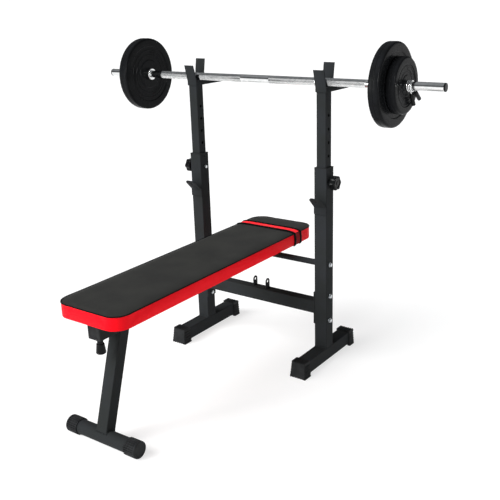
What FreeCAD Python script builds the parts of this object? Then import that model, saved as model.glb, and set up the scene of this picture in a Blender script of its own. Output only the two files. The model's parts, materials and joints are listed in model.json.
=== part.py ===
import FreeCAD, Part
import Sketcher
import math
import os

# Flat weight bench with a telescopic barbell rack and a loaded barbell.
# Millimetres, +Z up, the floor at Z = 0, the head end of the bench towards +Y.
# Positions are written from the plane of the two uprights; rack_y moves them all,
# so that the origin is under the middle of the whole object.

Vector = FreeCAD.Vector
doc = FreeCAD.newDocument("weight_bench")

# ---------------------------------------------------------------- driving dimensions
DIMENSIONS = {
    # rack
    "rack_y": 359.5,          # plane of the uprights, from the middle of the object
    "half_span": 279,         # middle of the object to the middle of an upright
    "tube": 50,               # square frame tube
    "wall": 2,
    "corner": 3,              # outer corner radius of every square tube
    "foot_base": 7,           # underside of the foot tubes
    "upright_top": 737,
    "foot_half": 176,         # half length of a foot tube
    "cap_side": 65,
    "cap_top_side": 56,
    "cap_high": 61,
    "cap_long": 36,
    "cap_end": 6,             # thickness of a cap's end wall
    "cap_flare": 8,           # the front caps stand this much further out on the floor
    # telescopic posts
    "post": 38,
    "post_base": 640,
    "post_top": 1010,
    "sleeve_long": 100,
    "sleeve_play": 0.4,
    "flange_thick": 2,
    "lock_z": 686,            # height of the locking pins
    "hole_pitch": 46.5,
    "hole_count": 6,
    "post_hole_r": 5.5,
    "guide_hole_z": 727,
    "guide_hole_r": 3.5,
    # cradles
    "cradle_wide": 42,
    "plate": 3,               # thickness of bent steel plate
    "floor_z": 1015.7,        # top of the cradle's floor
    "lip_y": -17,
    "lip_lean": 17,
    "lip_top": 1072,
    "back_y": 22,
    "back_lean": 12,
    "back_top": 1092,
    "arm_end": 145,
    "arm_base": 997,
    "arm_round": 4,
    # bar catches on the uprights
    "catch_base": 572,
    "catch_bend": 598,
    "catch_reach": 40,
    "catch_round": 17,
    "catch_hole_r": 3.5,
    # crossbeam and its brackets
    "beam_z": 211,
    "beam_high": 50,
    "beam_deep": 40,
    "end_plate": 4,
    "end_plate_high": 125,
    "bolt_offset": 48,        # crossbeam bolts above and below its middle
    "ear_gap": 54.4,
    "ear_wide": 25,
    "ear_z": 264,             # height of the holes in the ears
    "ear_hole_r": 5.25,
    # hinge crossbar
    "hinge_z": 381,
    "hinge_r": 11,
    "tapped_deep": 30,
    # fasteners
    "bolt_r": 4,
    "bolt_head_across": 13,
    "bolt_head": 5.3,
    "washer_r": 8.5,
    "washer": 1.6,
    "nut": 6.8,
    # locking pins and knobs
    "pin_r": 5,
    "pin_gap": 0.5,           # pin tip to the post, drawn clear of the hole
    "boss_r": 10,
    "boss": 6,
    "knob_r": 26,
    "knob_thick": 24,
    "knob_lobes": 6,
    "tip_out": 8,
    # bench
    "pad_front": -901,
    "pad_rear": 179,
    "pad_wide": 270,
    "pad_base": 418,
    "pad_top": 464,
    "pad_corner": 54,
    "pad_edge": 7,
    "board": 12,
    "board_inset": 4,
    "main_front": -867,
    "main_rear": 40,
    "plug_flange": 4,
    "plug_stub": 9,
    "sleeve_r": 14,
    "sleeve_half": 34,
    "running_gap": 0.08,
    "slot_front": -787,
    "slot_rear": -548,
    "support_half": 110,
    "support_wide": 30,
    "support_front": -700,
    "support_rear": -110,
    "support_wall": 2.5,
    "screw_r": 3,
    "screw_out": 85,
    "screw_head_r": 6,
    "screw_head": 4,
    "screw_in": 10,
    # pull pin
    "pull_y": -849,
    "bush_r": 9.5,
    "bush_base": 326,
    "bush_top": 358,
    "bush_floor": 4,
    "chamber_r": 7,
    "rod_r": 4,
    "rod_play": 0.4,
    "rod_top": 366,
    "collar_z": 350,
    "collar_thick": 2,
    "collar_r": 6.4,
    "spring_r": 5.5,
    "spring_wire": 1.0,
    "pull_low": 305,
    "pull_high": 337,         # the knob's skirt covers the foot of the bush
    "pull_neck_r": 12.2,
    "pull_flare_r": 15.5,
    "pull_play": 0.6,
    # front leg
    "leg_wide": 45,
    "leg_deep": 40,
    "leg_pivot_y": -756,
    "leg_foot_y": -868,
    "leg_foot_z": 28,
    "leg_foot_r": 24,
    "leg_foot_half": 138,
    "leg_cap_r": 28,
    "leg_cap_half": 148,
    "leg_cap_in": 102,
    # barbell
    "bar_z": 1030,
    "shaft_r": 13.75,
    "bar_r": 14,
    "bar_half": 706,
    "loading_start": 606,
    "end_cap": 4,
    "ring_r": 22,
    "ring_long": 12,
    "disc_start": 508,
    "large_r": 135.5,
    "large_thick": 38,
    "small_r": 90.5,
    "small_thick": 33,
    "disc_gap": 0.5,
    "disc_bore_r": 14.4,
    "hub_r": 34,
    "rim_wide": 20,
    "recess": 4,
    "clip_long": 22,
    "clip_wire_r": 2.5,
    "clip_reach": 53,
    "clip_spread": 10,        # angle of each grip from the middle of the pair
    "clip_turn": 40,          # the pair points down and to the rear by this angle
    "grip_r": 6.5,
    "grip_long": 45,
}

sheet = doc.addObject("Spreadsheet::Sheet", "Dims")
for row, (alias, number) in enumerate(DIMENSIONS.items(), start=1):
    sheet.set(f"A{row}", alias)
    sheet.set(f"B{row}", str(number))
    sheet.setAlias(f"B{row}", alias)
doc.recompute()

subparts = []


def size(alias):
    """The number that the sheet holds under this alias."""
    return float(sheet.get(alias))


# ---------------------------------------------------------------- helpers
def bind(thing, **expressions):
    """Bind properties of an object to expressions over the sheet."""
    for name, expression in expressions.items():
        thing.setExpression(name.replace("__", "."), str(expression))


def place(thing, x="0", y="0", z="0", turn=None):
    """Put an object at a point given from the uprights' plane, turned if asked."""
    if turn:
        axis, angle = turn
        thing.Placement = FreeCAD.Placement(Vector(), FreeCAD.Rotation(Vector(*axis), angle))
    bind(thing, Placement__Base__x=x, Placement__Base__y=f"Dims.rack_y + ({y})", Placement__Base__z=z)
    return thing


def keep(thing, label):
    """Make an object a sub-part: its label names its file."""
    thing.Label = label
    subparts.append(thing)
    return thing


def box(x, y, z):
    """A box between two expressions along each axis."""
    block = doc.addObject("Part::Box", "block")
    bind(block, Length=f"({x[1]}) - ({x[0]})", Width=f"({y[1]}) - ({y[0]})", Height=f"({z[1]}) - ({z[0]})")
    return place(block, x[0], y[0], z[0])


TURNS = {"x": ((0, 1, 0), 90), "y": ((1, 0, 0), -90), "z": None}


def rod(radius, along, start, end, x="0", y="0", z="0"):
    """A cylinder along one axis between two expressions."""
    cylinder = doc.addObject("Part::Cylinder", "rod")
    bind(cylinder, Radius=radius, Height=f"({end}) - ({start})")
    centre = {"x": x, "y": y, "z": z}
    centre[along] = start
    return place(cylinder, centre["x"], centre["y"], centre["z"], TURNS[along])


def hexagon(across, along, start, end, x="0", y="0", z="0"):
    """A hexagonal prism, given across its flats."""
    prism = doc.addObject("Part::Prism", "hexagon")
    prism.Polygon = 6
    bind(prism, Circumradius=f"({across}) / sqrt(3)", Height=f"({end}) - ({start})")
    centre = {"x": x, "y": y, "z": z}
    centre[along] = start
    return place(prism, centre["x"], centre["y"], centre["z"], TURNS[along])


def cone(low_r, high_r, start, end, x="0", y="0"):
    """An upright cone between two heights."""
    thing = doc.addObject("Part::Cone", "cone")
    bind(thing, Radius1=low_r, Radius2=high_r, Height=f"({end}) - ({start})")
    return place(thing, x, y, start)


def fuse(*things):
    """One solid out of several."""
    joined = doc.addObject("Part::MultiFuse", "joined")
    joined.Shapes = list(things)
    joined.Refine = True
    return joined


def group(*things):
    """Separate solids in one node."""
    together = doc.addObject("Part::Compound", "group")
    together.Links = list(things)
    return together


def cut(base, *tools):
    """A solid less its tools."""
    tool = tools[0] if len(tools) == 1 else fuse(*tools)
    piece = doc.addObject("Part::Cut", "cut")
    piece.Base = base
    piece.Tool = tool
    return piece


def rounded(base, radius, chosen):
    """Round the edges of a base that the chooser accepts."""
    doc.recompute()
    amount = size(radius)
    edges = [(number, amount, amount) for number, edge in enumerate(base.Shape.Edges, start=1)
             if chosen(edge)]
    fillet = doc.addObject("Part::Fillet", "rounded")
    fillet.Base = base
    fillet.Edges = edges
    return fillet


def lies_along(edge, axis):
    """Whether an edge is straight and runs along an axis."""
    if edge.Curve.TypeId != "Part::GeomLine":
        return False
    return abs(abs(edge.tangentAt(edge.FirstParameter).dot(Vector(*axis))) - 1) < 1e-6


PLANES = {"XY": "XY_Plane", "XZ": "XZ_Plane", "YZ": "YZ_Plane"}


def outline(body, plane, points):
    """A closed sketch whose corners are bound to expressions over the sheet."""
    sketch = body.newObject("Sketcher::SketchObject", "outline")
    origin = [item for item in body.Origin.OriginFeatures if item.Role == PLANES[plane]][0]
    sketch.AttachmentSupport = (origin, "")
    sketch.MapMode = "FlatFace"
    count = len(points)
    starts = [Vector(10 * math.cos(math.tau * n / count), 10 * math.sin(math.tau * n / count), 0)
              for n in range(count)]
    for n in range(count):
        sketch.addGeometry(Part.LineSegment(starts[n], starts[(n + 1) % count]), False)
    for n in range(count):
        sketch.addConstraint(Sketcher.Constraint("Coincident", n, 2, (n + 1) % count, 1))
    for n, (across, up) in enumerate(points):
        for kind, expression in (("DistanceX", across), ("DistanceY", up)):
            number = sketch.addConstraint(Sketcher.Constraint(kind, -1, 1, n, 1, 1.0))
            sketch.setExpression(f"Constraints[{number}]", str(expression))
    return sketch


def profile(plane, points, length):
    """A body padded both ways from a plane."""
    body = doc.addObject("PartDesign::Body", "profile")
    sketch = outline(body, plane, points)
    pad = body.newObject("PartDesign::Pad", "pad")
    pad.Profile = sketch
    pad.Midplane = True
    bind(pad, Length=length)
    body.Tip = pad
    sketch.Visibility = False
    return body


def turned(points):
    """A body revolved about the X axis from an outline of (along, radius) points."""
    body = doc.addObject("PartDesign::Body", "turned")
    sketch = outline(body, "XZ", points)
    spin = body.newObject("PartDesign::Revolution", "spin")
    spin.Profile = sketch
    axis = [item for item in body.Origin.OriginFeatures if item.Role == "X_Axis"][0]
    spin.ReferenceAxis = (axis, [""])
    spin.Angle = 360
    body.Tip = spin
    return body


def square_tube(width, depth, length, wall="Dims.wall"):
    """A hollow tube along its own Z with rounded corners, both ends open."""
    body = doc.addObject("PartDesign::Body", "tube")
    outer = outline(body, "XY", rectangle(width, depth))
    pad = body.newObject("PartDesign::Pad", "pad")
    pad.Profile = outer
    bind(pad, Length=length)
    doc.recompute()
    fillet = body.newObject("PartDesign::Fillet", "corners")
    names = [f"Edge{n}" for n, edge in enumerate(pad.Shape.Edges, start=1) if lies_along(edge, (0, 0, 1))]
    fillet.Base = (pad, names)
    bind(fillet, Radius="Dims.corner")
    inner = outline(body, "XY", rectangle(f"{width} - 2 * {wall}", f"{depth} - 2 * {wall}"))
    bore = body.newObject("PartDesign::Pocket", "bore")
    bore.Profile = inner
    bore.Type = "ThroughAll"
    bore.Reversed = True
    body.Tip = bore
    doc.recompute()
    if bore.Shape.Volume >= fillet.Shape.Volume:
        raise RuntimeError("the tube's bore cuts nothing")
    return body


def rectangle(width, depth):
    """The four corners of a rectangle about the sketch's origin."""
    return [(f"-({width}) / 2", f"-({depth}) / 2"), (f"({width}) / 2", f"-({depth}) / 2"),
            (f"({width}) / 2", f"({depth}) / 2"), (f"-({width}) / 2", f"({depth}) / 2")]


SIDES = {"left": -1, "right": 1}


def span(side, inner, outer):
    """The two ends along X of a piece that lies between two distances out from the middle."""
    sign = SIDES[side]
    ends = (f"{sign} * ({inner})", f"{sign} * ({outer})")
    return ends if sign > 0 else ends[::-1]


def at(side):
    """The X of an upright's middle."""
    return f"{SIDES[side]} * Dims.half_span"


# ---------------------------------------------------------------- rack
FOOT_TOP = "Dims.foot_base + Dims.tube"
INNER_FACE = "Dims.half_span - Dims.tube / 2"
OUTER_FACE = "Dims.half_span + Dims.tube / 2"
BOLT_HEIGHTS = ("Dims.hinge_z", "Dims.beam_z + Dims.bolt_offset", "Dims.beam_z - Dims.bolt_offset")


def across_upright(side, radius, z):
    """A drill that passes through an upright along X."""
    start, end = span(side, "Dims.half_span - Dims.tube", "Dims.half_span + Dims.tube")
    return rod(radius, "x", start, end, z=z)


def make_upright(side):
    """The outer tube that stands on a foot."""
    tube = place(square_tube("Dims.tube", "Dims.tube", f"Dims.upright_top - ({FOOT_TOP})"),
                 at(side), "0", FOOT_TOP)
    drills = [across_upright(side, "Dims.bolt_r", z) for z in BOLT_HEIGHTS]
    drills.append(across_upright(side, "Dims.pin_r + Dims.pin_gap", "Dims.lock_z"))
    drills.append(across_upright(side, "Dims.guide_hole_r", "Dims.guide_hole_z"))
    keep(cut(tube, *drills), f"upright_{side}")


def make_foot(side):
    """The tube on the floor and its two rubber caps."""
    tube = square_tube("Dims.tube", "Dims.tube", "2 * Dims.foot_half")
    place(tube, at(side), "Dims.foot_half", "Dims.foot_base + Dims.tube / 2", ((1, 0, 0), 90))
    keep(tube, f"foot_tube_{side}")
    for end, sign in (("front", -1), ("rear", 1)):
        wedge = doc.addObject("Part::Wedge", "wedge")
        inset = "(Dims.cap_side - Dims.cap_top_side) / 2"
        bind(wedge, Xmin="0", Ymin="0", Zmin="0", Xmax="Dims.cap_side", Ymax="Dims.cap_high",
             Zmax="Dims.cap_long" + (" + Dims.cap_flare" if sign < 0 else ""), X2min=inset,
             Z2min="0", X2max=f"Dims.cap_side - {inset}", Z2max="Dims.cap_long")
        face = f"{sign} * (Dims.foot_half + Dims.cap_end)"
        inside = f"{sign} * (Dims.foot_half + Dims.cap_end - Dims.cap_long)"
        high_y = inside if sign < 0 else face
        place(wedge, f"{at(side)} - Dims.cap_side / 2", high_y, "0", ((1, 0, 0), 90))
        stop = f"{sign} * Dims.foot_half"
        reach = (stop, inside) if sign < 0 else (inside, stop)
        socket = box((f"{at(side)} - Dims.tube / 2", f"{at(side)} + Dims.tube / 2"), reach,
                     ("Dims.foot_base", FOOT_TOP))
        keep(cut(wedge, socket), f"foot_cap_{end}_{side}")


def make_guide_sleeve(side):
    """The plastic guide between the upright and the sliding post."""
    bore = "Dims.tube - 2 * Dims.wall"
    low = "Dims.upright_top - Dims.sleeve_long"
    high = "Dims.upright_top + Dims.flange_thick"

    def block(width, z):
        half = f"({width}) / 2"
        return box((f"{at(side)} - {half}", f"{at(side)} + {half}"), (f"-{half}", half), z)

    body = fuse(block(bore, (low, "Dims.upright_top")), block("Dims.tube", ("Dims.upright_top", high)))
    slide = block("Dims.post + 2 * Dims.sleeve_play", (low, high))
    drill = across_upright(side, "Dims.pin_r + Dims.pin_gap", "Dims.lock_z")
    keep(cut(body, slide, drill), f"guide_sleeve_{side}")


def make_catch(side):
    """The bent plate on an upright's front that can hold the bar low down."""
    face = "-Dims.tube / 2"
    reach = "Dims.catch_reach"
    thick = "Dims.plate"
    points = [(face, "Dims.catch_base"), (f"{face} - {thick}", "Dims.catch_base"),
              (f"{face} - {thick}", "Dims.catch_bend"),
              (f"{face} - {thick} - {reach}", f"Dims.catch_bend + {reach}"),
              (f"{face} - {thick} - {reach} + {thick} / sqrt(2)",
               f"Dims.catch_bend + {reach} + {thick} / sqrt(2)"),
              (face, f"Dims.catch_bend + {thick} * (sqrt(2) - 1)")]
    body = place(profile("YZ", points, "Dims.tube"), at(side))
    tip = size("rack_y") - size("tube") / 2 - size("catch_reach") + 2

    def is_tip_corner(edge):
        return edge.Length < 2 * size("plate") and edge.CenterOfMass.y < tip

    plate = rounded(body, "catch_round", is_tip_corner)
    drill = rod("Dims.catch_hole_r", "z", "Dims.catch_bend", "Dims.catch_bend + 2 * Dims.catch_reach",
                x=at(side), y=f"{face} - 0.72 * {reach}")
    keep(cut(plate, drill), f"catch_hook_{side}")


def make_crossbeam():
    """The lower beam, the plates on its ends and the twin ears on its top."""
    beam = square_tube("Dims.beam_high", "Dims.beam_deep", f"2 * ({INNER_FACE} - Dims.end_plate)")
    place(beam, f"-({INNER_FACE} - Dims.end_plate)", "0", "Dims.beam_z", ((0, 1, 0), 90))
    keep(beam, "lower_crossbeam")
    plates = []
    for side in SIDES:
        plate = box(span(side, f"{INNER_FACE} - Dims.end_plate", INNER_FACE),
                    ("-Dims.tube / 2", "Dims.tube / 2"),
                    ("Dims.beam_z - Dims.end_plate_high / 2", "Dims.beam_z + Dims.end_plate_high / 2"))
        drills = [across_upright(side, "Dims.bolt_r", z) for z in BOLT_HEIGHTS[1:]]
        plates.append(cut(plate, *drills))
    keep(group(*plates), "crossbeam_end_plates")

    base_z = "Dims.beam_z + Dims.beam_high / 2"
    out = "Dims.ear_gap / 2 + Dims.plate"
    half = "Dims.ear_wide / 2"
    base = box((f"-({out})", out), (f"-{half}", half), (base_z, f"{base_z} + Dims.plate"))
    ears = []
    for side in SIDES:
        ends = span(side, "Dims.ear_gap / 2", out)
        ears.append(box(ends, (f"-{half}", half), (base_z, "Dims.ear_z")))
        ears.append(rod(half, "x", *ends, z="Dims.ear_z"))
    drill = rod("Dims.ear_hole_r", "x", f"-({out})", out, z="Dims.ear_z")
    keep(cut(fuse(base, *ears), drill), "decline_bracket")


def make_hinge_crossbar():
    """The round bar between the uprights that the bench hinges on, tapped at both ends."""
    bar = rod("Dims.hinge_r", "x", f"-({INNER_FACE})", INNER_FACE, z="Dims.hinge_z")
    taps = [rod("Dims.bolt_r", "x", *span(side, f"{INNER_FACE} - Dims.tapped_deep", INNER_FACE),
                z="Dims.hinge_z") for side in SIDES]
    keep(cut(bar, *taps), "hinge_crossbar")


def make_frame_fasteners():
    """Bolts through the uprights, their washers, and the nuts behind the end plates."""
    bolts, washers, nuts = [], [], []
    under_head = f"{OUTER_FACE} + Dims.washer"
    nut_face = f"{INNER_FACE} - Dims.end_plate"
    for side in SIDES:
        for z in BOLT_HEIGHTS:
            hinged = z == BOLT_HEIGHTS[0]
            tip = f"{INNER_FACE} - Dims.tapped_deep + 2" if hinged else f"{nut_face} - Dims.nut - 3"
            shank = rod("Dims.bolt_r", "x", *span(side, tip, under_head), z=z)
            head = hexagon("Dims.bolt_head_across", "x",
                           *span(side, under_head, f"{under_head} + Dims.bolt_head"), z=z)
            bolts.append(fuse(shank, head))
            ends = span(side, OUTER_FACE, under_head)
            washers.append(cut(rod("Dims.washer_r", "x", *ends, z=z), rod("Dims.bolt_r", "x", *ends, z=z)))
            if not hinged:
                ends = span(side, f"{nut_face} - Dims.nut", nut_face)
                nuts.append(cut(hexagon("Dims.bolt_head_across", "x", *ends, z=z),
                                rod("Dims.bolt_r", "x", *ends, z=z)))
    keep(group(*bolts), "frame_bolts")
    keep(group(*washers), "frame_washers")
    keep(group(*nuts), "frame_nuts")


def make_lock_fittings():
    """Bosses that guide the locking pins, and the ends that show on the inner faces."""
    bosses, tips = [], []
    for side in SIDES:
        ends = span(side, OUTER_FACE, f"{OUTER_FACE} + Dims.boss")
        bosses.append(cut(rod("Dims.boss_r", "x", *ends, z="Dims.lock_z"),
                          rod("Dims.pin_r + Dims.pin_gap", "x", *ends, z="Dims.lock_z")))
        ends = span(side, f"{INNER_FACE} - Dims.tip_out", f"{INNER_FACE} + Dims.wall")
        tips.append(rod("Dims.pin_r + Dims.pin_gap", "x", *ends, z="Dims.lock_z"))
    keep(group(*bosses), "lock_bosses")
    keep(group(*tips), "pin_end_ferrules")


# ---------------------------------------------------------------- sliding posts
def make_post(side):
    """The inner tube, with a row of holes for the locking pin."""
    tube = place(square_tube("Dims.post", "Dims.post", "Dims.post_top - Dims.post_base"),
                 at(side), "0", "Dims.post_base")
    drills = [across_upright(side, "Dims.post_hole_r", f"Dims.lock_z + {n} * Dims.hole_pitch")
              for n in range(int(size("hole_count")))]
    keep(cut(tube, *drills), f"inner_post_{side}")


def make_cradle(side):
    """The bent plate that holds the bar: a leaning lip, a floor and a tall back."""
    thick = "Dims.plate"
    skirt = "-Dims.post / 2 - Dims.plate"
    lip_out = f"Dims.lip_y - Dims.lip_lean - {thick}"
    back_tip = "Dims.back_y + Dims.back_lean"
    points = [(skirt, "Dims.arm_base"), ("-Dims.post / 2", "Dims.arm_base"),
              ("-Dims.post / 2", f"Dims.floor_z - {thick}"),
              (f"Dims.back_y + {thick}", f"Dims.floor_z - {thick}"),
              (f"{back_tip} + {thick}", "Dims.back_top"), (back_tip, "Dims.back_top"),
              ("Dims.back_y", "Dims.floor_z"), ("Dims.lip_y", "Dims.floor_z"),
              (f"{lip_out} + {thick}", "Dims.lip_top"), (lip_out, "Dims.lip_top"),
              (skirt, f"Dims.floor_z - {thick}")]
    keep(place(profile("YZ", points, "Dims.cradle_wide"), at(side)), f"bar_cradle_{side}")


def make_cradle_arm(side):
    """The channel that caps the post and reaches back under the bar."""
    top = "Dims.floor_z - Dims.plate"
    half = "Dims.cradle_wide / 2"
    block = box((f"{at(side)} - {half}", f"{at(side)} + {half}"),
                ("-Dims.post / 2", "Dims.arm_end"), ("Dims.arm_base", top))

    def is_lower_tip(edge):
        middle = edge.CenterOfMass
        low = middle.z < size("arm_base") + 1
        return low and lies_along(edge, (1, 0, 0)) and middle.y > size("rack_y") + size("post")

    block = rounded(block, "arm_round", is_lower_tip)
    half = "Dims.post / 2"
    channel = box((f"{at(side)} - {half}", f"{at(side)} + {half}"),
                  (f"-{half}", "Dims.arm_end - Dims.wall"), ("Dims.arm_base", "Dims.post_top"))
    keep(cut(block, channel), f"cradle_arm_{side}")


# ---------------------------------------------------------------- locking pins and knobs
def make_lock(side):
    """A pin that slides in from the outside, and the lobed knob on its end."""
    tip = "Dims.half_span + Dims.post / 2 + Dims.pin_gap"
    knob_start = f"{OUTER_FACE} + Dims.boss + 1"
    knob_end = f"{knob_start} + Dims.knob_thick"
    stem_end = f"{knob_end} - 6"
    stem = span(side, tip, stem_end)
    keep(rod("Dims.pin_r", "x", *stem, z="Dims.lock_z"), f"lock_pin_{side}")
    core = rod("Dims.knob_r - 4", "x", *span(side, knob_start, knob_end), z="Dims.lock_z")
    lobes = []
    for n in range(int(size("knob_lobes"))):
        angle = math.tau * n / size("knob_lobes")
        reach = "(Dims.knob_r - 7)"
        lobes.append(rod("7", "x", *span(side, knob_start, knob_end),
                         y=f"{reach} * {math.cos(angle):.6f}",
                         z=f"Dims.lock_z + {reach} * {math.sin(angle):.6f}"))
    bore = rod("Dims.pin_r + Dims.running_gap", "x", *span(side, knob_start, f"{stem_end} + 0.5"),
               z="Dims.lock_z")
    keep(cut(fuse(core, *lobes), bore), f"lock_knob_{side}")


# ---------------------------------------------------------------- bench
def slab(inset, z):
    """A flat block with the pad's outline, drawn in by an inset, with round corners."""
    half = f"Dims.pad_wide / 2 - ({inset})"
    block = box((f"-({half})", half), (f"Dims.pad_front + {inset}", f"Dims.pad_rear - ({inset})"), z)
    return rounded(block, "pad_corner", lambda edge: lies_along(edge, (0, 0, 1)))


def screw_places():
    """Where the pad's screws pass through its supports."""
    return [(f"{sign} * Dims.screw_out", y) for y in ("Dims.support_front", "Dims.support_rear")
            for sign in (-1, 1)]


def make_pad():
    """The plywood board and the foam and cover around it."""
    board_top = "Dims.pad_base + Dims.board"
    board = slab("Dims.board_inset", ("Dims.pad_base", board_top))
    drills = [rod("Dims.screw_r", "z", "Dims.pad_base", "Dims.pad_base + Dims.screw_in", x=x, y=y)
              for x, y in screw_places()]
    keep(cut(board, *drills), "pad_board")
    foam = slab("0", ("Dims.pad_base", "Dims.pad_top"))
    high = size("pad_top")
    foam = rounded(foam, "pad_edge", lambda edge: edge.BoundBox.ZMin > high - 1)
    keep(cut(foam, slab("Dims.board_inset", ("Dims.pad_base", board_top))), "pad_cushion")


def make_main_beam():
    """The tube under the pad, slotted underneath for the leg, with its plugs and hinge sleeve."""
    beam = square_tube("Dims.tube", "Dims.tube", "Dims.main_rear - Dims.main_front")
    place(beam, "0", "Dims.main_rear", "Dims.hinge_z", ((1, 0, 0), 90))
    half = "Dims.tube / 2"
    bore = "(Dims.tube / 2 - Dims.wall)"
    low = "Dims.hinge_z - Dims.tube / 2"
    slot = box((f"-{bore}", bore), ("Dims.slot_front", "Dims.slot_rear"), (low, f"{low} + 2 * Dims.wall"))
    hinge = rod("Dims.sleeve_r", "x", f"-{half}", half, z="Dims.hinge_z")
    pivot = rod("Dims.bolt_r", "x", f"-{half}", half, y="Dims.leg_pivot_y", z="Dims.hinge_z")
    bush = rod("Dims.bush_r", "z", low, f"{low} + 2 * Dims.wall", y="Dims.pull_y")
    keep(cut(beam, slot, hinge, pivot, bush), "bench_beam")

    for end, face, sign in (("front", "Dims.main_front", -1), ("rear", "Dims.main_rear", 1)):
        flange = (face, f"{face} + {sign} * Dims.plug_flange")
        stub = (f"{face} - {sign} * Dims.plug_stub", face)
        flange, stub = (pair if sign > 0 else pair[::-1] for pair in (flange, stub))
        height = (f"Dims.hinge_z - {half}", f"Dims.hinge_z + {half}")
        inner = (f"Dims.hinge_z - {bore}", f"Dims.hinge_z + {bore}")
        plug = fuse(box((f"-{half}", half), flange, height), box((f"-{bore}", bore), stub, inner))
        keep(plug, f"beam_plug_{end}")

    sleeve = rod("Dims.sleeve_r", "x", "-Dims.sleeve_half", "Dims.sleeve_half", z="Dims.hinge_z")
    bore = rod("Dims.hinge_r + Dims.running_gap", "x", "-Dims.sleeve_half", "Dims.sleeve_half",
               z="Dims.hinge_z")
    keep(cut(sleeve, bore), "hinge_sleeve")


def make_pad_supports():
    """Two channels across the beam that the pad is screwed down to."""
    low = "Dims.hinge_z + Dims.tube / 2"
    half = "Dims.support_wide / 2"
    wall = "Dims.support_wall"
    for end, y in (("front", "Dims.support_front"), ("rear", "Dims.support_rear")):
        width = ("-Dims.support_half", "Dims.support_half")
        block = box(width, (f"{y} - {half}", f"{y} + {half}"), (low, "Dims.pad_base"))
        channel = box(width, (f"{y} - {half} + {wall}", f"{y} + {half} - {wall}"),
                      (low, f"Dims.pad_base - {wall}"))
        drills = [rod("Dims.screw_r", "z", low, "Dims.pad_base", x=x, y=spot)
                  for x, spot in screw_places() if spot == y]
        keep(cut(block, channel, *drills), f"pad_support_{end}")
    screws = []
    under = f"Dims.pad_base - {wall}"
    for x, y in screw_places():
        head = rod("Dims.screw_head_r", "z", f"{under} - Dims.screw_head", under, x=x, y=y)
        shank = rod("Dims.screw_r", "z", under, "Dims.pad_base + Dims.screw_in", x=x, y=y)
        screws.append(fuse(head, shank))
    keep(group(*screws), "pad_screws")


def make_pull_pin():
    """The spring pin under the front of the beam: bush, rod, spring and pull knob."""
    y = "Dims.pull_y"
    top = "Dims.bush_top"
    floor = "Dims.bush_base + Dims.bush_floor"
    bush = rod("Dims.bush_r", "z", "Dims.bush_base", top, y=y)
    chamber = rod("Dims.chamber_r", "z", floor, f"{top} - Dims.bush_floor", y=y)
    way = rod("Dims.rod_r + Dims.rod_play", "z", "Dims.bush_base", top, y=y)
    keep(cut(bush, chamber, way), "pull_pin_bush")

    collar = rod("Dims.collar_r", "z", "Dims.collar_z", "Dims.collar_z + Dims.collar_thick", y=y)
    stem = rod("Dims.rod_r", "z", "Dims.pull_low + 8", "Dims.rod_top", y=y)
    keep(fuse(collar, stem), "pull_pin_rod")

    spring = doc.addObject("Part::Feature", "spring")
    margin = 0.2
    low = size("bush_base") + size("bush_floor") + size("spring_wire") + margin
    high = size("collar_z") - size("spring_wire") - margin
    turns = 4
    helix = Part.makeHelix((high - low) / turns, high - low, size("spring_r"))
    wire = Part.Wire(helix.Edges)
    ring = Part.Wire([Part.makeCircle(size("spring_wire"), Vector(size("spring_r"), 0, 0), Vector(0, 1, 0))])
    spring.Shape = wire.makePipeShell([ring], True, True)
    spring.Placement = FreeCAD.Placement(Vector(0, size("rack_y") + size("pull_y"), low),
                                         FreeCAD.Rotation())
    keep(spring, "pull_pin_spring")

    neck = "Dims.pull_high"
    flare = "Dims.pull_low + 6"
    knob = fuse(cone("Dims.pull_flare_r", "Dims.pull_neck_r", flare, neck, y=y),
                cone("Dims.pull_flare_r - 3", "Dims.pull_flare_r", "Dims.pull_low", flare, y=y))
    bore = rod("Dims.rod_r", "z", "Dims.pull_low + 8", neck, y=y)
    skirt = rod("Dims.bush_r + Dims.pull_play", "z", "Dims.bush_base - 1", neck, y=y)
    keep(cut(knob, bore, skirt), "pull_pin_knob")


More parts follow.
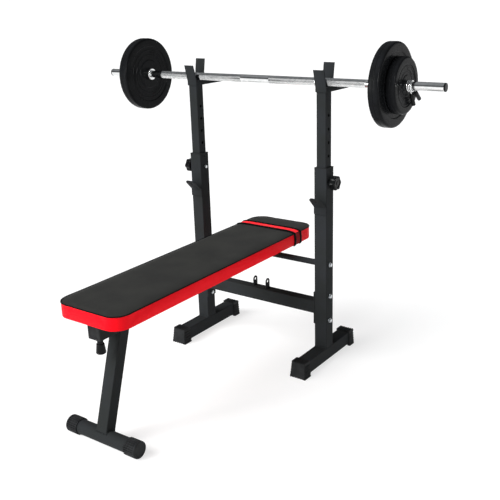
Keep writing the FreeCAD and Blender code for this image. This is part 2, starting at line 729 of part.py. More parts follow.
# ---------------------------------------------------------------- front leg
def make_leg():
    """The leaning leg with its round foot, ribbed caps and the bolt that it folds on."""
    rise = size("hinge_z") - size("leg_foot_z")
    run = size("leg_pivot_y") - size("leg_foot_y")
    lean = math.degrees(math.atan2(run, rise))
    reach = "sqrt(pow(Dims.hinge_z - Dims.leg_foot_z; 2) + pow(Dims.leg_pivot_y - Dims.leg_foot_y; 2))"
    tube = square_tube("Dims.leg_wide", "Dims.leg_deep", reach)
    place(tube, "0", "Dims.leg_foot_y", "Dims.leg_foot_z", ((1, 0, 0), -lean))
    half = "Dims.leg_wide / 2"
    knuckle = rod("Dims.leg_deep / 2", "x", f"-{half}", half, y="Dims.leg_pivot_y", z="Dims.hinge_z")
    saddle = rod("Dims.leg_foot_r", "x", f"-{half}", half, y="Dims.leg_foot_y", z="Dims.leg_foot_z")
    pivot = rod("Dims.bolt_r + Dims.running_gap", "x", f"-{half}", half,
                y="Dims.leg_pivot_y", z="Dims.hinge_z")
    keep(cut(fuse(tube, knuckle), saddle, pivot), "leg_tube")

    where = {"y": "Dims.leg_foot_y", "z": "Dims.leg_foot_z"}
    foot = rod("Dims.leg_foot_r", "x", "-Dims.leg_foot_half", "Dims.leg_foot_half", **where)
    bore = rod("Dims.leg_foot_r - Dims.wall", "x", "-Dims.leg_foot_half", "Dims.leg_foot_half", **where)
    keep(cut(foot, bore), "leg_foot_tube")
    for side in SIDES:
        cap = rod("Dims.leg_cap_r", "x", *span(side, "Dims.leg_cap_in", "Dims.leg_cap_half"), **where)
        socket = rod("Dims.leg_foot_r", "x", *span(side, "Dims.leg_cap_in", "Dims.leg_foot_half"), **where)
        keep(cut(cap, socket), f"leg_cap_{side}")

    face = "Dims.tube / 2"
    where = {"y": "Dims.leg_pivot_y", "z": "Dims.hinge_z"}
    shank = rod("Dims.bolt_r", "x", f"-{face} - Dims.nut - 2", face, **where)
    head = hexagon("Dims.bolt_head_across", "x", face, f"{face} + Dims.bolt_head", **where)
    ends = (f"-{face} - Dims.nut", f"-{face}")
    nut = cut(hexagon("Dims.bolt_head_across", "x", *ends, **where), rod("Dims.bolt_r", "x", *ends, **where))
    keep(group(fuse(shank, head), nut), "leg_pivot_bolt")


# ---------------------------------------------------------------- barbell
def make_bar():
    """The bar, the rings that stop the discs, and the caps on its ends."""
    middle = rod("Dims.shaft_r", "x", "-Dims.loading_start", "Dims.loading_start", z="Dims.bar_z")
    ends = [rod("Dims.bar_r", "x", *span(side, "Dims.loading_start", "Dims.bar_half"), z="Dims.bar_z")
            for side in SIDES]
    keep(fuse(middle, *ends), "bar")
    rings, caps = [], []
    for side in SIDES:
        ring = span(side, "Dims.disc_start - Dims.disc_gap - Dims.ring_long", "Dims.disc_start - Dims.disc_gap")
        rings.append(cut(rod("Dims.ring_r", "x", *ring, z="Dims.bar_z"),
                         rod("Dims.shaft_r", "x", *ring, z="Dims.bar_z")))
        caps.append(rod("Dims.bar_r", "x", *span(side, "Dims.bar_half", "Dims.bar_half + Dims.end_cap"),
                        z="Dims.bar_z"))
    keep(group(*rings), "inner_rings")
    keep(group(*caps), "bar_end_caps")


def make_disc(side, label, start, thick, radius):
    """A plastic-shelled disc with a raised hub and rim, turned about the bar."""
    rim = f"{radius} - Dims.rim_wide"
    slope = "Dims.recess"
    low, high = f"-({thick}) / 2", f"({thick}) / 2"
    in_low, in_high = f"{low} + Dims.recess", f"{high} - Dims.recess"
    soft = "5"
    points = [(low, "Dims.disc_bore_r"), (high, "Dims.disc_bore_r"),
              (high, "Dims.hub_r"), (in_high, f"Dims.hub_r + {slope}"),
              (in_high, f"{rim} - {slope}"), (high, rim),
              (high, f"{radius} - {soft}"), (f"{high} - {soft}", radius),
              (f"{low} + {soft}", radius), (low, f"{radius} - {soft}"),
              (low, rim), (in_low, f"{rim} - {slope}"),
              (in_low, f"Dims.hub_r + {slope}"), (low, "Dims.hub_r")]
    middle = f"{SIDES[side]} * ({start} + {thick} / 2)"
    keep(place(turned(points), middle, "0", "Dims.bar_z"), label)


def make_clip(side, start):
    """A spring clip that holds the discs on: its coil, two wire arms and two grips."""
    ends = span(side, start, f"{start} + Dims.clip_long")
    outer = "Dims.disc_bore_r + 2 * Dims.clip_wire_r"
    coil = cut(rod(outer, "x", *ends, z="Dims.bar_z"), rod("Dims.disc_bore_r", "x", *ends, z="Dims.bar_z"))
    arms, grips = [], []
    for sign, along in ((-1, "Dims.grip_r + 2"), (1, "Dims.clip_long - Dims.clip_wire_r - 1")):
        angle = math.radians(size("clip_turn") + sign * size("clip_spread"))
        x = f"{SIDES[side]} * ({start} + {along})"
        for radius, low, high, pieces in (
                ("Dims.clip_wire_r", "Dims.disc_bore_r + Dims.clip_wire_r", "Dims.clip_reach", arms),
                ("Dims.grip_r", "Dims.clip_reach - Dims.grip_long / 2",
                 "Dims.clip_reach + Dims.grip_long / 2", grips)):
            piece = doc.addObject("Part::Cylinder", "arm")
            bind(piece, Radius=radius, Height=f"({high}) - ({low})")
            y = f"({low}) * {math.sin(angle):.6f}"
            z = f"Dims.bar_z - ({low}) * {math.cos(angle):.6f}"
            place(piece, x, y, z, ((1, 0, 0), 180 + math.degrees(angle)))
            pieces.append(piece)
    wire = fuse(coil, *arms)
    keep(wire, f"spring_clip_{side}")
    keep(group(*[cut(grip, arm) for grip, arm in zip(grips, arms)]), f"clip_grips_{side}")


# ---------------------------------------------------------------- build
for side_name in SIDES:
    make_upright(side_name)
    make_foot(side_name)
    make_guide_sleeve(side_name)
    make_catch(side_name)
    make_post(side_name)
    make_cradle(side_name)
    make_cradle_arm(side_name)
    make_lock(side_name)
make_crossbeam()
make_hinge_crossbar()
make_frame_fasteners()
make_lock_fittings()
make_pad()
make_main_beam()
make_pad_supports()
make_pull_pin()
make_leg()
make_bar()
LARGE_START = "Dims.disc_start"
SMALL_START = f"({LARGE_START} + Dims.large_thick + Dims.disc_gap)"
CLIP_START = f"({SMALL_START} + Dims.small_thick + Dims.disc_gap)"
for side_name in SIDES:
    make_disc(side_name, f"large_disc_{side_name}", LARGE_START, "Dims.large_thick", "Dims.large_r")
    make_disc(side_name, f"small_disc_{side_name}", SMALL_START, "Dims.small_thick", "Dims.small_r")
    make_clip(side_name, CLIP_START)

doc.recompute()
for item in doc.Objects:
    if {"Invalid", "Error"} & set(item.State):
        raise RuntimeError(f"{item.Name} ({item.Label}) failed: {item.State}")
os.makedirs("parts", exist_ok=True)
for item in subparts:
    shape = item.Shape
    if shape.isNull() or not shape.isValid() or not shape.Solids:
        raise RuntimeError(f"{item.Label} has no valid solid")
    shape.exportStep(f"parts/{item.Label}.step")
    print(item.Label, len(shape.Solids), round(shape.Volume))
print(len(subparts), "sub-parts")
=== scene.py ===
# %% [markdown]
# # A weight bench with a barbell rack
# This lesson keeps every size that the model gives and adds what it cannot hold:
# sewn vinyl, knurled chrome, weld beads, moulded ribs and real finishes.

import json
import math

import bmesh
import bpy
from mathutils import Matrix, Vector
from mathutils.bvhtree import BVHTree


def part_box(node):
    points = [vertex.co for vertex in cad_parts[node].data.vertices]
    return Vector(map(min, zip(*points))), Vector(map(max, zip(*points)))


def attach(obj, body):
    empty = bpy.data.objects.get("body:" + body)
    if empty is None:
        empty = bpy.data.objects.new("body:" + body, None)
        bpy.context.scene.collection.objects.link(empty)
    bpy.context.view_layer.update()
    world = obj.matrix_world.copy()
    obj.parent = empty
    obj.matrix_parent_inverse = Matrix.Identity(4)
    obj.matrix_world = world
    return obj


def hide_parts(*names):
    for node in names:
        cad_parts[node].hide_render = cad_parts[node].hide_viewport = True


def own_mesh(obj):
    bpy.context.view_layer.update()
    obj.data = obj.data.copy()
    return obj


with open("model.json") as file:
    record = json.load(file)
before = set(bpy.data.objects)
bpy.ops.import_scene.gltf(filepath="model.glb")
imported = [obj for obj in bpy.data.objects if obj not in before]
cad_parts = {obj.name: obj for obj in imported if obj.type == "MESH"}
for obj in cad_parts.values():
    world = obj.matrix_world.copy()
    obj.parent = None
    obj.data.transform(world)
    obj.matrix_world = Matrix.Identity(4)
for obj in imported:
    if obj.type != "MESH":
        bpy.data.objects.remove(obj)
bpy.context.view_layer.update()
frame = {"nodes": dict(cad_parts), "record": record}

MM = 0.001

# %% [markdown]
# Every position below starts from a node's box, so a piece always lands where the
# engineering model puts it. The two uprights give the plane from which the bench
# and the rack are measured.

# %% Reading positions and making objects
def corners(node):
    """The low and the high corner of a node's box."""
    low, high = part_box(node)
    return Vector(low), Vector(high)


def middle(node):
    """The centre of a node's box."""
    low, high = corners(node)
    return (low + high) / 2


def placed(name, data):
    """A new object in the scene."""
    thing = bpy.data.objects.new(name, data)
    bpy.context.scene.collection.objects.link(thing)
    return thing


def applied(helper):
    """A helper's mesh with its modifiers applied. The helper goes."""
    mesh = bpy.data.meshes.new_from_object(
        helper.evaluated_get(bpy.context.evaluated_depsgraph_get()))
    bpy.data.objects.remove(helper)
    return mesh


RACK_Y = middle("upright_right").y
BAR_Z = middle("bar").z
SIDES = {"left": -1, "right": 1}
print("uprights at y", round(RACK_Y, 4), "bar at z", round(BAR_Z, 4))

# %% [markdown]
# ## The camera
# The bench is seen from its front right corner, a little above the pad. The camera
# stands on a sphere round a point under the rack, described by an azimuth, an
# elevation and a distance, and its small roll levels the picture.

# %% Camera
CAMERA_TURN, CAMERA_RISE, CAMERA_ROLL = (math.radians(a) for a in (35.98, 18.55, -1.81))
CAMERA_DISTANCE = 2.6952
CAMERA_TARGET = Vector((0.1100, RACK_Y - 0.2204, 0.4688))


def place_camera():
    """A camera that looks at the target from its azimuth and elevation."""
    back = Vector((math.sin(CAMERA_TURN) * math.cos(CAMERA_RISE),
                   -math.cos(CAMERA_TURN) * math.cos(CAMERA_RISE), math.sin(CAMERA_RISE)))
    level = Vector((math.cos(CAMERA_TURN), math.sin(CAMERA_TURN), 0))
    upright = back.cross(level)
    c, s = math.cos(CAMERA_ROLL), math.sin(CAMERA_ROLL)
    across, up = c * level + s * upright, -s * level + c * upright
    camera = placed("studio_camera", bpy.data.cameras.new("studio_camera"))
    camera.data.lens, camera.data.sensor_width = 55.5, 36
    camera.matrix_world = Matrix.Translation(CAMERA_TARGET + CAMERA_DISTANCE * back) @ Matrix(
        (across, up, back)).transposed().to_4x4()
    bpy.context.scene.camera = camera
    return camera


print("camera at", [round(v, 3) for v in place_camera().matrix_world.translation])

# %% [markdown]
# ## Light and floor
# Dark satin steel and bright vinyl are hard to light together: a white room greys
# the steel, and a dark room leaves the vinyl dull. Here the floor is a lit table, as
# in a product studio, which glows a little and keeps its shadows soft. The sky is
# white at the horizon, darkest a little above it and grey overhead, which gives the
# chrome its bands. A very wide sun stands to the front left, out of all reflections,
# so that faces towards the front read lighter than the sides. One strip helps it, a
# second adds highlights and no fill, and a wide lamp on the right adds fill and no
# highlights.

# %% Colour from a hex value
def linear(code):
    """An sRGB hex value as linear colour."""
    channels = [int(code[i:i + 2], 16) / 255 for i in (1, 3, 5)]
    return [c / 12.92 if c <= 0.04045 else ((c + 0.055) / 1.055) ** 2.4 for c in channels] + [1.0]


def add(tree, kind, inputs=None, **settings):
    """Add a node, with its settings, its values and its links."""
    node = tree.nodes.new(kind)
    for name, value in settings.items():
        setattr(node, name, value)
    for key, value in (inputs or {}).items():
        if isinstance(value, bpy.types.Node):
            value = value.outputs[0]
        if isinstance(value, bpy.types.NodeSocket):
            tree.links.new(value, node.inputs[key])
        else:
            node.inputs[key].default_value = value
    return node


# %% Floor, sky and lamps
FLOOR_REACH = 400.0


def make_floor():
    """A wide lit floor."""
    mesh = bpy.data.meshes.new("studio_floor")
    mesh.from_pydata([(x * FLOOR_REACH, y * FLOOR_REACH, 0)
                      for x, y in ((-1, -1), (1, -1), (1, 1), (-1, 1))], [], [(0, 1, 2, 3)])
    paint = bpy.data.materials.new("lit_studio_floor")
    paint.use_nodes = True
    shader = paint.node_tree.nodes["Principled BSDF"]
    for socket, value in {"Base Color": linear("#aaaaaa"), "Roughness": 0.95,
                          "Specular IOR Level": 0.0, "Emission Color": linear("#ffffff"),
                          "Emission Strength": 0.68}.items():
        shader.inputs[socket].default_value = value
    mesh.materials.append(paint)
    placed("studio_floor", mesh)


def make_sky():
    """A sky that is white at the horizon, dark above it and grey overhead."""
    sky = bpy.data.worlds.new("pale_sky")
    sky.use_nodes = True
    tree = sky.node_tree
    way = add(tree, "ShaderNodeTexCoord").outputs["Generated"]
    height = add(tree, "ShaderNodeSeparateXYZ", {"Vector": way}).outputs["Z"]
    ramp = add(tree, "ShaderNodeValToRGB", {"Fac": height}).color_ramp
    for at in (0.45, 0.75):
        ramp.elements.new(at)
    for element, at, code in zip(ramp.elements, (0.03, 0.13, 0.45, 0.75),
                                 ("#ffffff", "#5c5e60", "#505254", "#8c8e90")):
        element.position, element.color = at, linear(code)
    backdrop = tree.nodes["Background"]
    tree.links.new(tree.nodes["Color Ramp"].outputs["Color"], backdrop.inputs["Color"])
    backdrop.inputs["Strength"].default_value = 1.0
    bpy.context.scene.world = sky


def make_lamp(name, kind, place, aim, energy, **settings):
    """A lamp that stands at a place and points at another."""
    lamp = bpy.data.lights.new(name, kind)
    lamp.energy = energy
    for setting, value in settings.items():
        setattr(lamp, setting, value)
    light = placed(name, lamp)
    light.location = place
    light.rotation_euler = (Vector(aim) - Vector(place)).to_track_quat("-Z", "Y").to_euler()
    return light


def make_studio():
    """The floor, the sky and the lamps."""
    make_floor()
    make_sky()
    key = make_lamp("front_left_key", "SUN", (-4.0, -6.5, 6.2), (0, 0, 0), 4.4,
                    angle=math.radians(45))
    key.visible_glossy = False
    make_lamp("left_strip", "AREA", (-1.3, -2.6, 1.3), (0.3, 0.2, 0.8), 26,
              shape="RECTANGLE", size=0.3, size_y=1.8)
    rim = make_lamp("rim_strip", "AREA", (2.6, -1.8, 2.0), (0.5, 0.2, 1.0), 90,
                    shape="RECTANGLE", size=0.16, size_y=1.4)
    rim.visible_diffuse = False
    fill = make_lamp("right_fill", "AREA", (3.2, -1.4, 1.0), (0.1, -0.2, 0.4), 7,
                     shape="RECTANGLE", size=2.2, size_y=1.4)
    fill.visible_glossy = False
    bpy.context.scene.view_settings.view_transform = "Standard"


make_studio()
print("studio ready")

# %% [markdown]
# ## Finishes
# Each finish starts from how the real surface was made. One function starts a
# material and hands back its tree, its shader and the object's own coordinates, in
# metres, so a pattern's scale can be worked out from a real size: a noise of scale
# 500 has features about 2 mm across.

# %% Starting a material
FINISHES = {}


def start(name, colour, roughness, **fixed):
    """A new material: its tree, its shader and its coordinates in metres."""
    material = bpy.data.materials.new(name)
    material.use_nodes = True
    tree = material.node_tree
    shader = tree.nodes["Principled BSDF"]
    shader.inputs["Base Color"].default_value = linear(colour)
    shader.inputs["Roughness"].default_value = roughness
    for socket, value in fixed.items():
        shader.inputs[socket.replace("_", " ")].default_value = value
    place = add(tree, "ShaderNodeTexCoord").outputs["Object"]
    FINISHES[name] = material
    return tree, shader, place


def noise(tree, vector, size, detail=2.0):
    """Soft noise whose features have one size in metres."""
    return add(tree, "ShaderNodeTexNoise",
               {"Vector": vector, "Scale": 1 / size, "Detail": detail}).outputs["Fac"]


def weighed(tree, first, weight, second):
    """A height made of a share of the first and all of the second."""
    return add(tree, "ShaderNodeMath", {0: first, 1: weight, 2: second},
               operation="MULTIPLY_ADD").outputs[0]


def two_tones(tree, shader, share, dark, light):
    """Base colour that runs from one hex value to another."""
    ramp = add(tree, "ShaderNodeValToRGB", {"Fac": share})
    for element, at, code in zip(ramp.color_ramp.elements, (0.35, 0.65), (dark, light)):
        element.position, element.color = at, linear(code)
    tree.links.new(ramp.outputs["Color"], shader.inputs["Base Color"])


def mottle(tree, shader, place, size, dark, light):
    """Colour that drifts softly between two hex values over patches of one size."""
    two_tones(tree, shader, noise(tree, place, size, 3.0), dark, light)


def relief(tree, shader, height, depth, strength):
    """Bump of a real depth in metres from a height between 0 and 1."""
    bump = add(tree, "ShaderNodeBump", {"Height": height, "Distance": depth, "Strength": strength})
    tree.links.new(bump.outputs["Normal"], shader.inputs["Normal"])


def gloss(tree, shader, place, size, low, high):
    """Roughness that drifts between two values over patches of one size."""
    spread = add(tree, "ShaderNodeMapRange", {"Value": noise(tree, place, size), "From Min": 0.3,
                                             "From Max": 0.7, "To Min": low, "To Max": high})
    tree.links.new(spread.outputs["Result"], shader.inputs["Roughness"])


# %% [markdown]
# **Powder coat on steel.** Polyester powder is sprayed dry and baked, and it flows
# out to a satin skin with a slight orange peel, ripples 2 to 4 mm across and a few
# hundredths of a millimetre deep. The dark charcoal has low gloss, so it takes its
# tone from the light that falls on each face.

# %% Satin powder coat
tree, shader, place = start("satin_powder_coat", "#292b2d", 0.5, Specular_IOR_Level=0.02)
mottle(tree, shader, place, 60 * MM, "#272929", "#292b2d")
gloss(tree, shader, place, 30 * MM, 0.45, 0.54)
relief(tree, shader, noise(tree, place, 3 * MM), 0.25 * MM, 0.5)

# %% [markdown]
# **Moulded plastics.** The foot caps, the sleeves and the plugs are polypropylene
# from a spark-eroded mould, which leaves a fine dull texture. The knobs come from a
# polished mould and are glossy, with a clear skin. The discs are a thin polyethylene
# shell blown in a mould, waxy and slightly uneven, which bends their highlights.

# %% Moulded plastics
tree, shader, place = start("eroded_polypropylene", "#202122", 0.55, Specular_IOR_Level=0.1)
mottle(tree, shader, place, 20 * MM, "#1e1f20", "#272829")
relief(tree, shader, noise(tree, place, 0.9 * MM), 0.15 * MM, 0.6)

tree, shader, place = start("glossy_moulded_nylon", "#0a0b0c", 0.13, Specular_IOR_Level=0.12)
mottle(tree, shader, place, 12 * MM, "#0b0c0d", "#131415")
relief(tree, shader, noise(tree, place, 9 * MM, 1.0), 0.2 * MM, 0.3)

tree, shader, place = start("blown_polyethylene", "#141516", 0.24, Specular_IOR_Level=0.05)
mottle(tree, shader, place, 45 * MM, "#131415", "#17181a")
gloss(tree, shader, place, 25 * MM, 0.22, 0.3)
uneven = weighed(tree, noise(tree, place, 1.5 * MM), 0.12, noise(tree, place, 32 * MM))
relief(tree, shader, uneven, 0.6 * MM, 0.3)

# %% [markdown]
# **Vinyl leathercloth.** A knitted backing carries a PVC skin that is embossed while
# warm with a leather pebble of about 1.5 mm. It is drawn at 2.2 mm here, because the
# real one is finer than the picture can show. Vinyl keeps a soft sheen.

# %% Vinyl leathercloth
def leathercloth(name, dark, light, roughness, specular, pebble=2.2 * MM):
    """An embossed vinyl between two hex values."""
    tree, shader, place = start(name, dark, roughness, Specular_IOR_Level=specular,
                                Sheen_Weight=0.02, Sheen_Roughness=0.4)
    mottle(tree, shader, place, 90 * MM, dark, light)
    cells = add(tree, "ShaderNodeTexVoronoi", {"Vector": place, "Scale": 1 / pebble},
                feature="SMOOTH_F1")
    creases = noise(tree, place, pebble * 2.5, 4.0)
    relief(tree, shader, weighed(tree, creases, 0.6, cells.outputs["Distance"]), 0.3 * MM, 0.55)


leathercloth("black_leathercloth", "#2c2c2b", "#323230", 0.55, 0.1)
leathercloth("red_leathercloth", "#f00618", "#f80c1e", 0.45, 0.06)
# A lighter red for the band's top: its extra lightness is a painted sheen.
leathercloth("painted_sheen_red_leathercloth", "#f0262f", "#f6333b", 0.45, 0.2)
# A darker red for the band's sides and underside: painted shade.
leathercloth("painted_shade_red_leathercloth", "#8e0a14", "#a01019", 0.5, 0.1)
leathercloth("black_vinyl_piping", "#060606", "#0a0a0a", 0.45, 0.05, 1.2 * MM)
leathercloth("dipped_vinyl_grip", "#0a0b0b", "#101111", 0.32, 0.14, 1.5 * MM)

# %% [markdown]
# **Metals.** Bright zinc plate on the bolts is slightly blue and grey with a fine
# grain. The bar is chromed steel, close to a mirror, with faint turning lines.

# %% Zinc and chrome
tree, shader, place = start("bright_zinc_plate", "#c6cacd", 0.28, Metallic=1.0)
mottle(tree, shader, place, 3 * MM, "#b9bec2", "#d6d9db")
gloss(tree, shader, place, 4 * MM, 0.2, 0.36)

tree, shader, place = start("chromed_steel", "#e4e6e6", 0.1, Metallic=1.0)
mottle(tree, shader, place, 15 * MM, "#dcdede", "#ececec")
along = add(tree, "ShaderNodeMapping", {"Vector": place, "Scale": (1 / (0.8 * MM), 30.0, 30.0)})
relief(tree, shader, noise(tree, along, 1.0), 0.05 * MM, 0.35)

# %% [markdown]
# **Plywood.** The board under the pad is thin veneers of a pale wood. Its face shows
# long grain along the bench, stretched about fifteen times longer than it is wide.

# %% Plywood
tree, shader, place = start("birch_plywood", "#b88f5f", 0.7)
stretched = add(tree, "ShaderNodeMapping", {"Vector": place, "Scale": (1.0, 0.07, 1.0)})
figure = noise(tree, stretched, 6 * MM, 5.0)
two_tones(tree, shader, figure, "#a87c4c", "#c9a374")
relief(tree, shader, figure, 0.2 * MM, 0.5)
print(len(FINISHES), "finishes")

# %% [markdown]
# ## Painting the nodes that stay
# The tubes, the pins and the board already have their right shape. Each record slot
# gets one finish, which goes into the slots of every node that uses it.

# %% One finish for each slot
SLOT_FINISH = {
    "frame_coat": "satin_powder_coat", "cap_rubber": "eroded_polypropylene",
    "guide_plastic": "eroded_polypropylene", "zinc_steel": "bright_zinc_plate",
    "pin_steel": "bright_zinc_plate", "knob_plastic": "glossy_moulded_nylon",
    "plywood": "birch_plywood", "vinyl_red": "red_leathercloth",
    "bar_chrome": "chromed_steel", "disc_plastic": "blown_polyethylene",
    "clip_wire": "chromed_steel", "grip_vinyl": "dipped_vinyl_grip",
    "vinyl_black": "black_vinyl_piping",
}
BODIES = frame["record"]["behaviour"]["bodies"]
SLOT_OF = {}
for name, node in frame["nodes"].items():
    SLOT_OF[name] = node.data.materials[0].name.split(".")[0]
    for number in range(len(node.data.materials)):
        node.data.materials[number] = FINISHES[SLOT_FINISH[SLOT_OF[name]]]
print("painted", len(frame["nodes"]), "nodes")


# %% [markdown]
# ## Tools for new pieces
# `settle` turns a mesh into a finished piece: outward faces, smooth shading up to a
# chosen angle, the finish of its slot, and the body that it rides on. It can also
# hide the nodes that the new piece stands for.

# %% From points to a finished piece
def settle(name, mesh, body, slot, hides=(), smooth=38, finish=None):
    """Make a piece of a mesh: outward faces, shading, the finish of its slot, and its body."""
    work = bmesh.new()
    work.from_mesh(mesh)
    bmesh.ops.remove_doubles(work, verts=work.verts, dist=1e-6)
    bmesh.ops.recalc_face_normals(work, faces=work.faces)
    work.to_mesh(mesh)
    work.free()
    mesh.name = name
    if not len(mesh.materials):
        mesh.materials.append(FINISHES[finish or SLOT_FINISH[slot]])
    mesh.shade_smooth()
    mesh.set_sharp_from_angle(angle=math.radians(smooth))
    piece = placed(name, mesh)
    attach(piece, body)
    if hides:
        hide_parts(*hides)
    print(name, len(mesh.polygons), "faces")
    return piece


def meshed(points, faces, edges=()):
    """A plain mesh."""
    mesh = bpy.data.meshes.new("working")
    mesh.from_pydata([tuple(p) for p in points], edges, faces)
    return mesh


def joined(*meshes):
    """Several meshes as one."""
    work = bmesh.new()
    for mesh in meshes:
        work.from_mesh(mesh)
    whole = bpy.data.meshes.new("working")
    work.to_mesh(whole)
    work.free()
    return whole


# %% [markdown]
# Turned pieces start as rows of (distance along the axis, radius, fillet), all in
# millimetres. `filleted` rounds the corners, as a mould or a lathe tool does, and
# `lathe` spins the outline. `skin` covers a row of equal rings.

# %% Filleted outlines, turned shapes and skins
def filleted(points, radii, closed=True, steps=4):
    """An outline whose corners are rounded to their own radii."""
    result = []
    count = len(points)
    for n, (point, radius) in enumerate(zip(points, radii)):
        at = Vector(point)
        if radius <= 0 or (not closed and n in (0, count - 1)):
            result.append(tuple(at))
            continue
        before, after = Vector(points[n - 1]) - at, Vector(points[(n + 1) % count]) - at
        half = before.angle(after) / 2
        back = min(radius / math.tan(half), before.length * 0.48, after.length * 0.48)
        first, last = at + before.normalized() * back, at + after.normalized() * back
        for k in range(steps + 1):
            t = k / steps
            result.append(tuple((1 - t) ** 2 * first + 2 * t * (1 - t) * at + t ** 2 * last))
    return result


def lathe(outline, centre, steps=96, axis="x", sign=1, closed=True):
    """Spin an outline of (along, radius) about an axis through a centre."""
    points, faces, rings = [], [], []
    for along, radius in outline:
        around = 1 if radius < 1e-7 else steps
        rings.append((len(points), around))
        for k in range(around):
            angle = math.tau * k / steps
            a, b = radius * math.cos(angle), radius * math.sin(angle)
            offset = {"x": (sign * along, a, b), "z": (a, b, sign * along)}[axis]
            points.append(Vector(centre) + Vector(offset))
    pairs = list(zip(rings, rings[1:])) + ([(rings[-1], rings[0])] if closed else [])
    for (one, around_one), (two, around_two) in pairs:
        for k in range(steps):
            k2 = (k + 1) % steps
            ring = [one + (k if around_one > 1 else 0), one + (k2 if around_one > 1 else 0),
                    two + (k2 if around_two > 1 else 0), two + (k if around_two > 1 else 0)]
            ring = list(dict.fromkeys(ring))
            if len(ring) > 2:
                faces.append(ring)
    return meshed(points, faces)


def turned(rows, centre, steps, axis="x", sign=1, closed=False, fine=4):
    """Spin rows of (along, radius, fillet) in millimetres about an axis."""
    outline = filleted([(along * MM, radius * MM) for along, radius, _ in rows],
                       [fillet * MM for *_, fillet in rows], closed, fine)
    return lathe(outline, centre, steps, axis, sign, closed)


def skin(rings, round_again=False):
    """Faces over rings of equal length, closed at both ends or joined round."""
    count, rows = len(rings[0]), len(rings)
    faces = [(i * count + k, i * count + (k + 1) % count,
              (i + 1) % rows * count + (k + 1) % count, (i + 1) % rows * count + k)
             for i in range(rows if round_again else rows - 1) for k in range(count)]
    if not round_again:
        faces.append(tuple(reversed(range(count))))
        faces.append(tuple((rows - 1) * count + k for k in range(count)))
    return meshed([p for ring in rings for p in ring], faces)


# %% [markdown]
# Bent plates and pressed tubes leave the engineering model with knife edges. Real
# ones are tumbled and coated, so their edges are round and catch the light. `eased`
# copies a node, welds its loose triangles, and bevels every corner.

# %% Softened copies of sharp nodes
def eased(node, width):
    """A piece that stands for a node, with its edges bevelled."""
    work = bmesh.new()
    work.from_mesh(frame["nodes"][node].data)
    bmesh.ops.remove_doubles(work, verts=work.verts, dist=2e-6)
    bmesh.ops.dissolve_limit(work, angle_limit=math.radians(0.6), verts=work.verts,
                             edges=work.edges)
    mesh = bpy.data.meshes.new(node)
    work.to_mesh(mesh)
    work.free()
    helper = placed("helper", mesh)
    bevel = helper.modifiers.new("ease", "BEVEL")
    bevel.width, bevel.segments, bevel.limit_method = width, 2, "ANGLE"
    bevel.angle_limit = math.radians(30)
    final = applied(helper)
    final.materials.clear()
    body = next(b for b, names in BODIES.items() if node in names)
    return settle(f"{node}_soft_edges", final, body, SLOT_OF[node], [node])


for plate in ("catch_hook", "bar_cradle", "cradle_arm"):
    for side in SIDES:
        eased(f"{plate}_{side}", 0.7 * MM)
for part in ("crossbeam_end_plates", "decline_bracket", "beam_plug_rear", "pad_support_front",
             "pad_support_rear"):
    eased(part, 0.5 * MM)
for side in SIDES:
    eased(f"guide_sleeve_{side}", 0.4 * MM)

# %% [markdown]
# ## Trees that repeat and follow
# Ribs, fasteners, staples and weld ripples all repeat a small piece, and piping and
# wire follow a path. A Geometry Nodes tree does each of these from named inputs, and
# `grown` runs a tree on a mesh and hands back plain geometry.

# %% Starting a tree and running it
def new_tree(name, *sockets):
    """A Geometry Nodes tree with named inputs: its nodes, its inputs and its output."""
    tree = bpy.data.node_groups.new(name, "GeometryNodeTree")
    tree.is_modifier = True
    for label, kind in (("Geometry", "Geometry"), *sockets, ("Material", "Material")):
        tree.interface.new_socket(label, in_out="INPUT", socket_type=f"NodeSocket{kind}")
    tree.interface.new_socket("Geometry", in_out="OUTPUT", socket_type="NodeSocketGeometry")
    return tree, tree.nodes.new("NodeGroupInput").outputs, tree.nodes.new("NodeGroupOutput").inputs


def finish_tree(tree, inputs, output, geometry):
    """Make the copies real, give them their material and send them out."""
    real = add(tree, "GeometryNodeRealizeInstances", {"Geometry": geometry})
    painted = add(tree, "GeometryNodeSetMaterial", {"Geometry": real.outputs[0],
                                                    "Material": inputs["Material"]})
    tree.links.new(painted.outputs[0], output["Geometry"])
    return tree


def grown(tree, mesh, finish, **values):
    """Run a tree on a mesh and return its result as a plain mesh."""
    helper = placed("helper", mesh)
    modifier = helper.modifiers.new("grow", "NODES")
    modifier.node_group = tree
    names = {item.name: item.identifier for item in tree.interface.items_tree
             if item.in_out == "INPUT"}
    for label, value in {**values, "Material": FINISHES[finish]}.items():
        modifier[names[label]] = value
    return applied(helper)


def stand_in(mesh):
    """A small piece for a tree to copy. It is never shown itself."""
    return bpy.data.objects.new("stand_in", mesh)


def copied(tree, points, piece, turn, **more):
    """A piece, read from an input, at every point."""
    shape = add(tree, "GeometryNodeObjectInfo", {"Object": piece}).outputs["Geometry"]
    return add(tree, "GeometryNodeInstanceOnPoints",
               {"Points": points, "Instance": shape, "Rotation": turn, **more})


# %% Fasteners at points
def fasteners_tree():
    """Copies of a piece at every point, its Z turned along the point's own facing."""
    tree, inputs, output = new_tree("fasteners_at_points", ("Piece", "Object"))
    facing = add(tree, "GeometryNodeInputNamedAttribute", {"Name": "facing"},
                 data_type="FLOAT_VECTOR")
    turn = add(tree, "FunctionNodeAlignRotationToVector", {"Vector": facing.outputs["Attribute"]},
               axis="Z")
    copies = copied(tree, inputs["Geometry"], inputs["Piece"], turn)
    return finish_tree(tree, inputs, output, copies)


def points_facing(spots):
    """A mesh of loose points, each with the direction that its piece faces."""
    mesh = meshed([spot for spot, _ in spots], [])
    facing = mesh.attributes.new("facing", "FLOAT_VECTOR", "POINT")
    facing.data.foreach_set("vector", [value for _, way in spots for value in way])
    return mesh


FASTENERS = fasteners_tree()
print("tree:", FASTENERS.name)

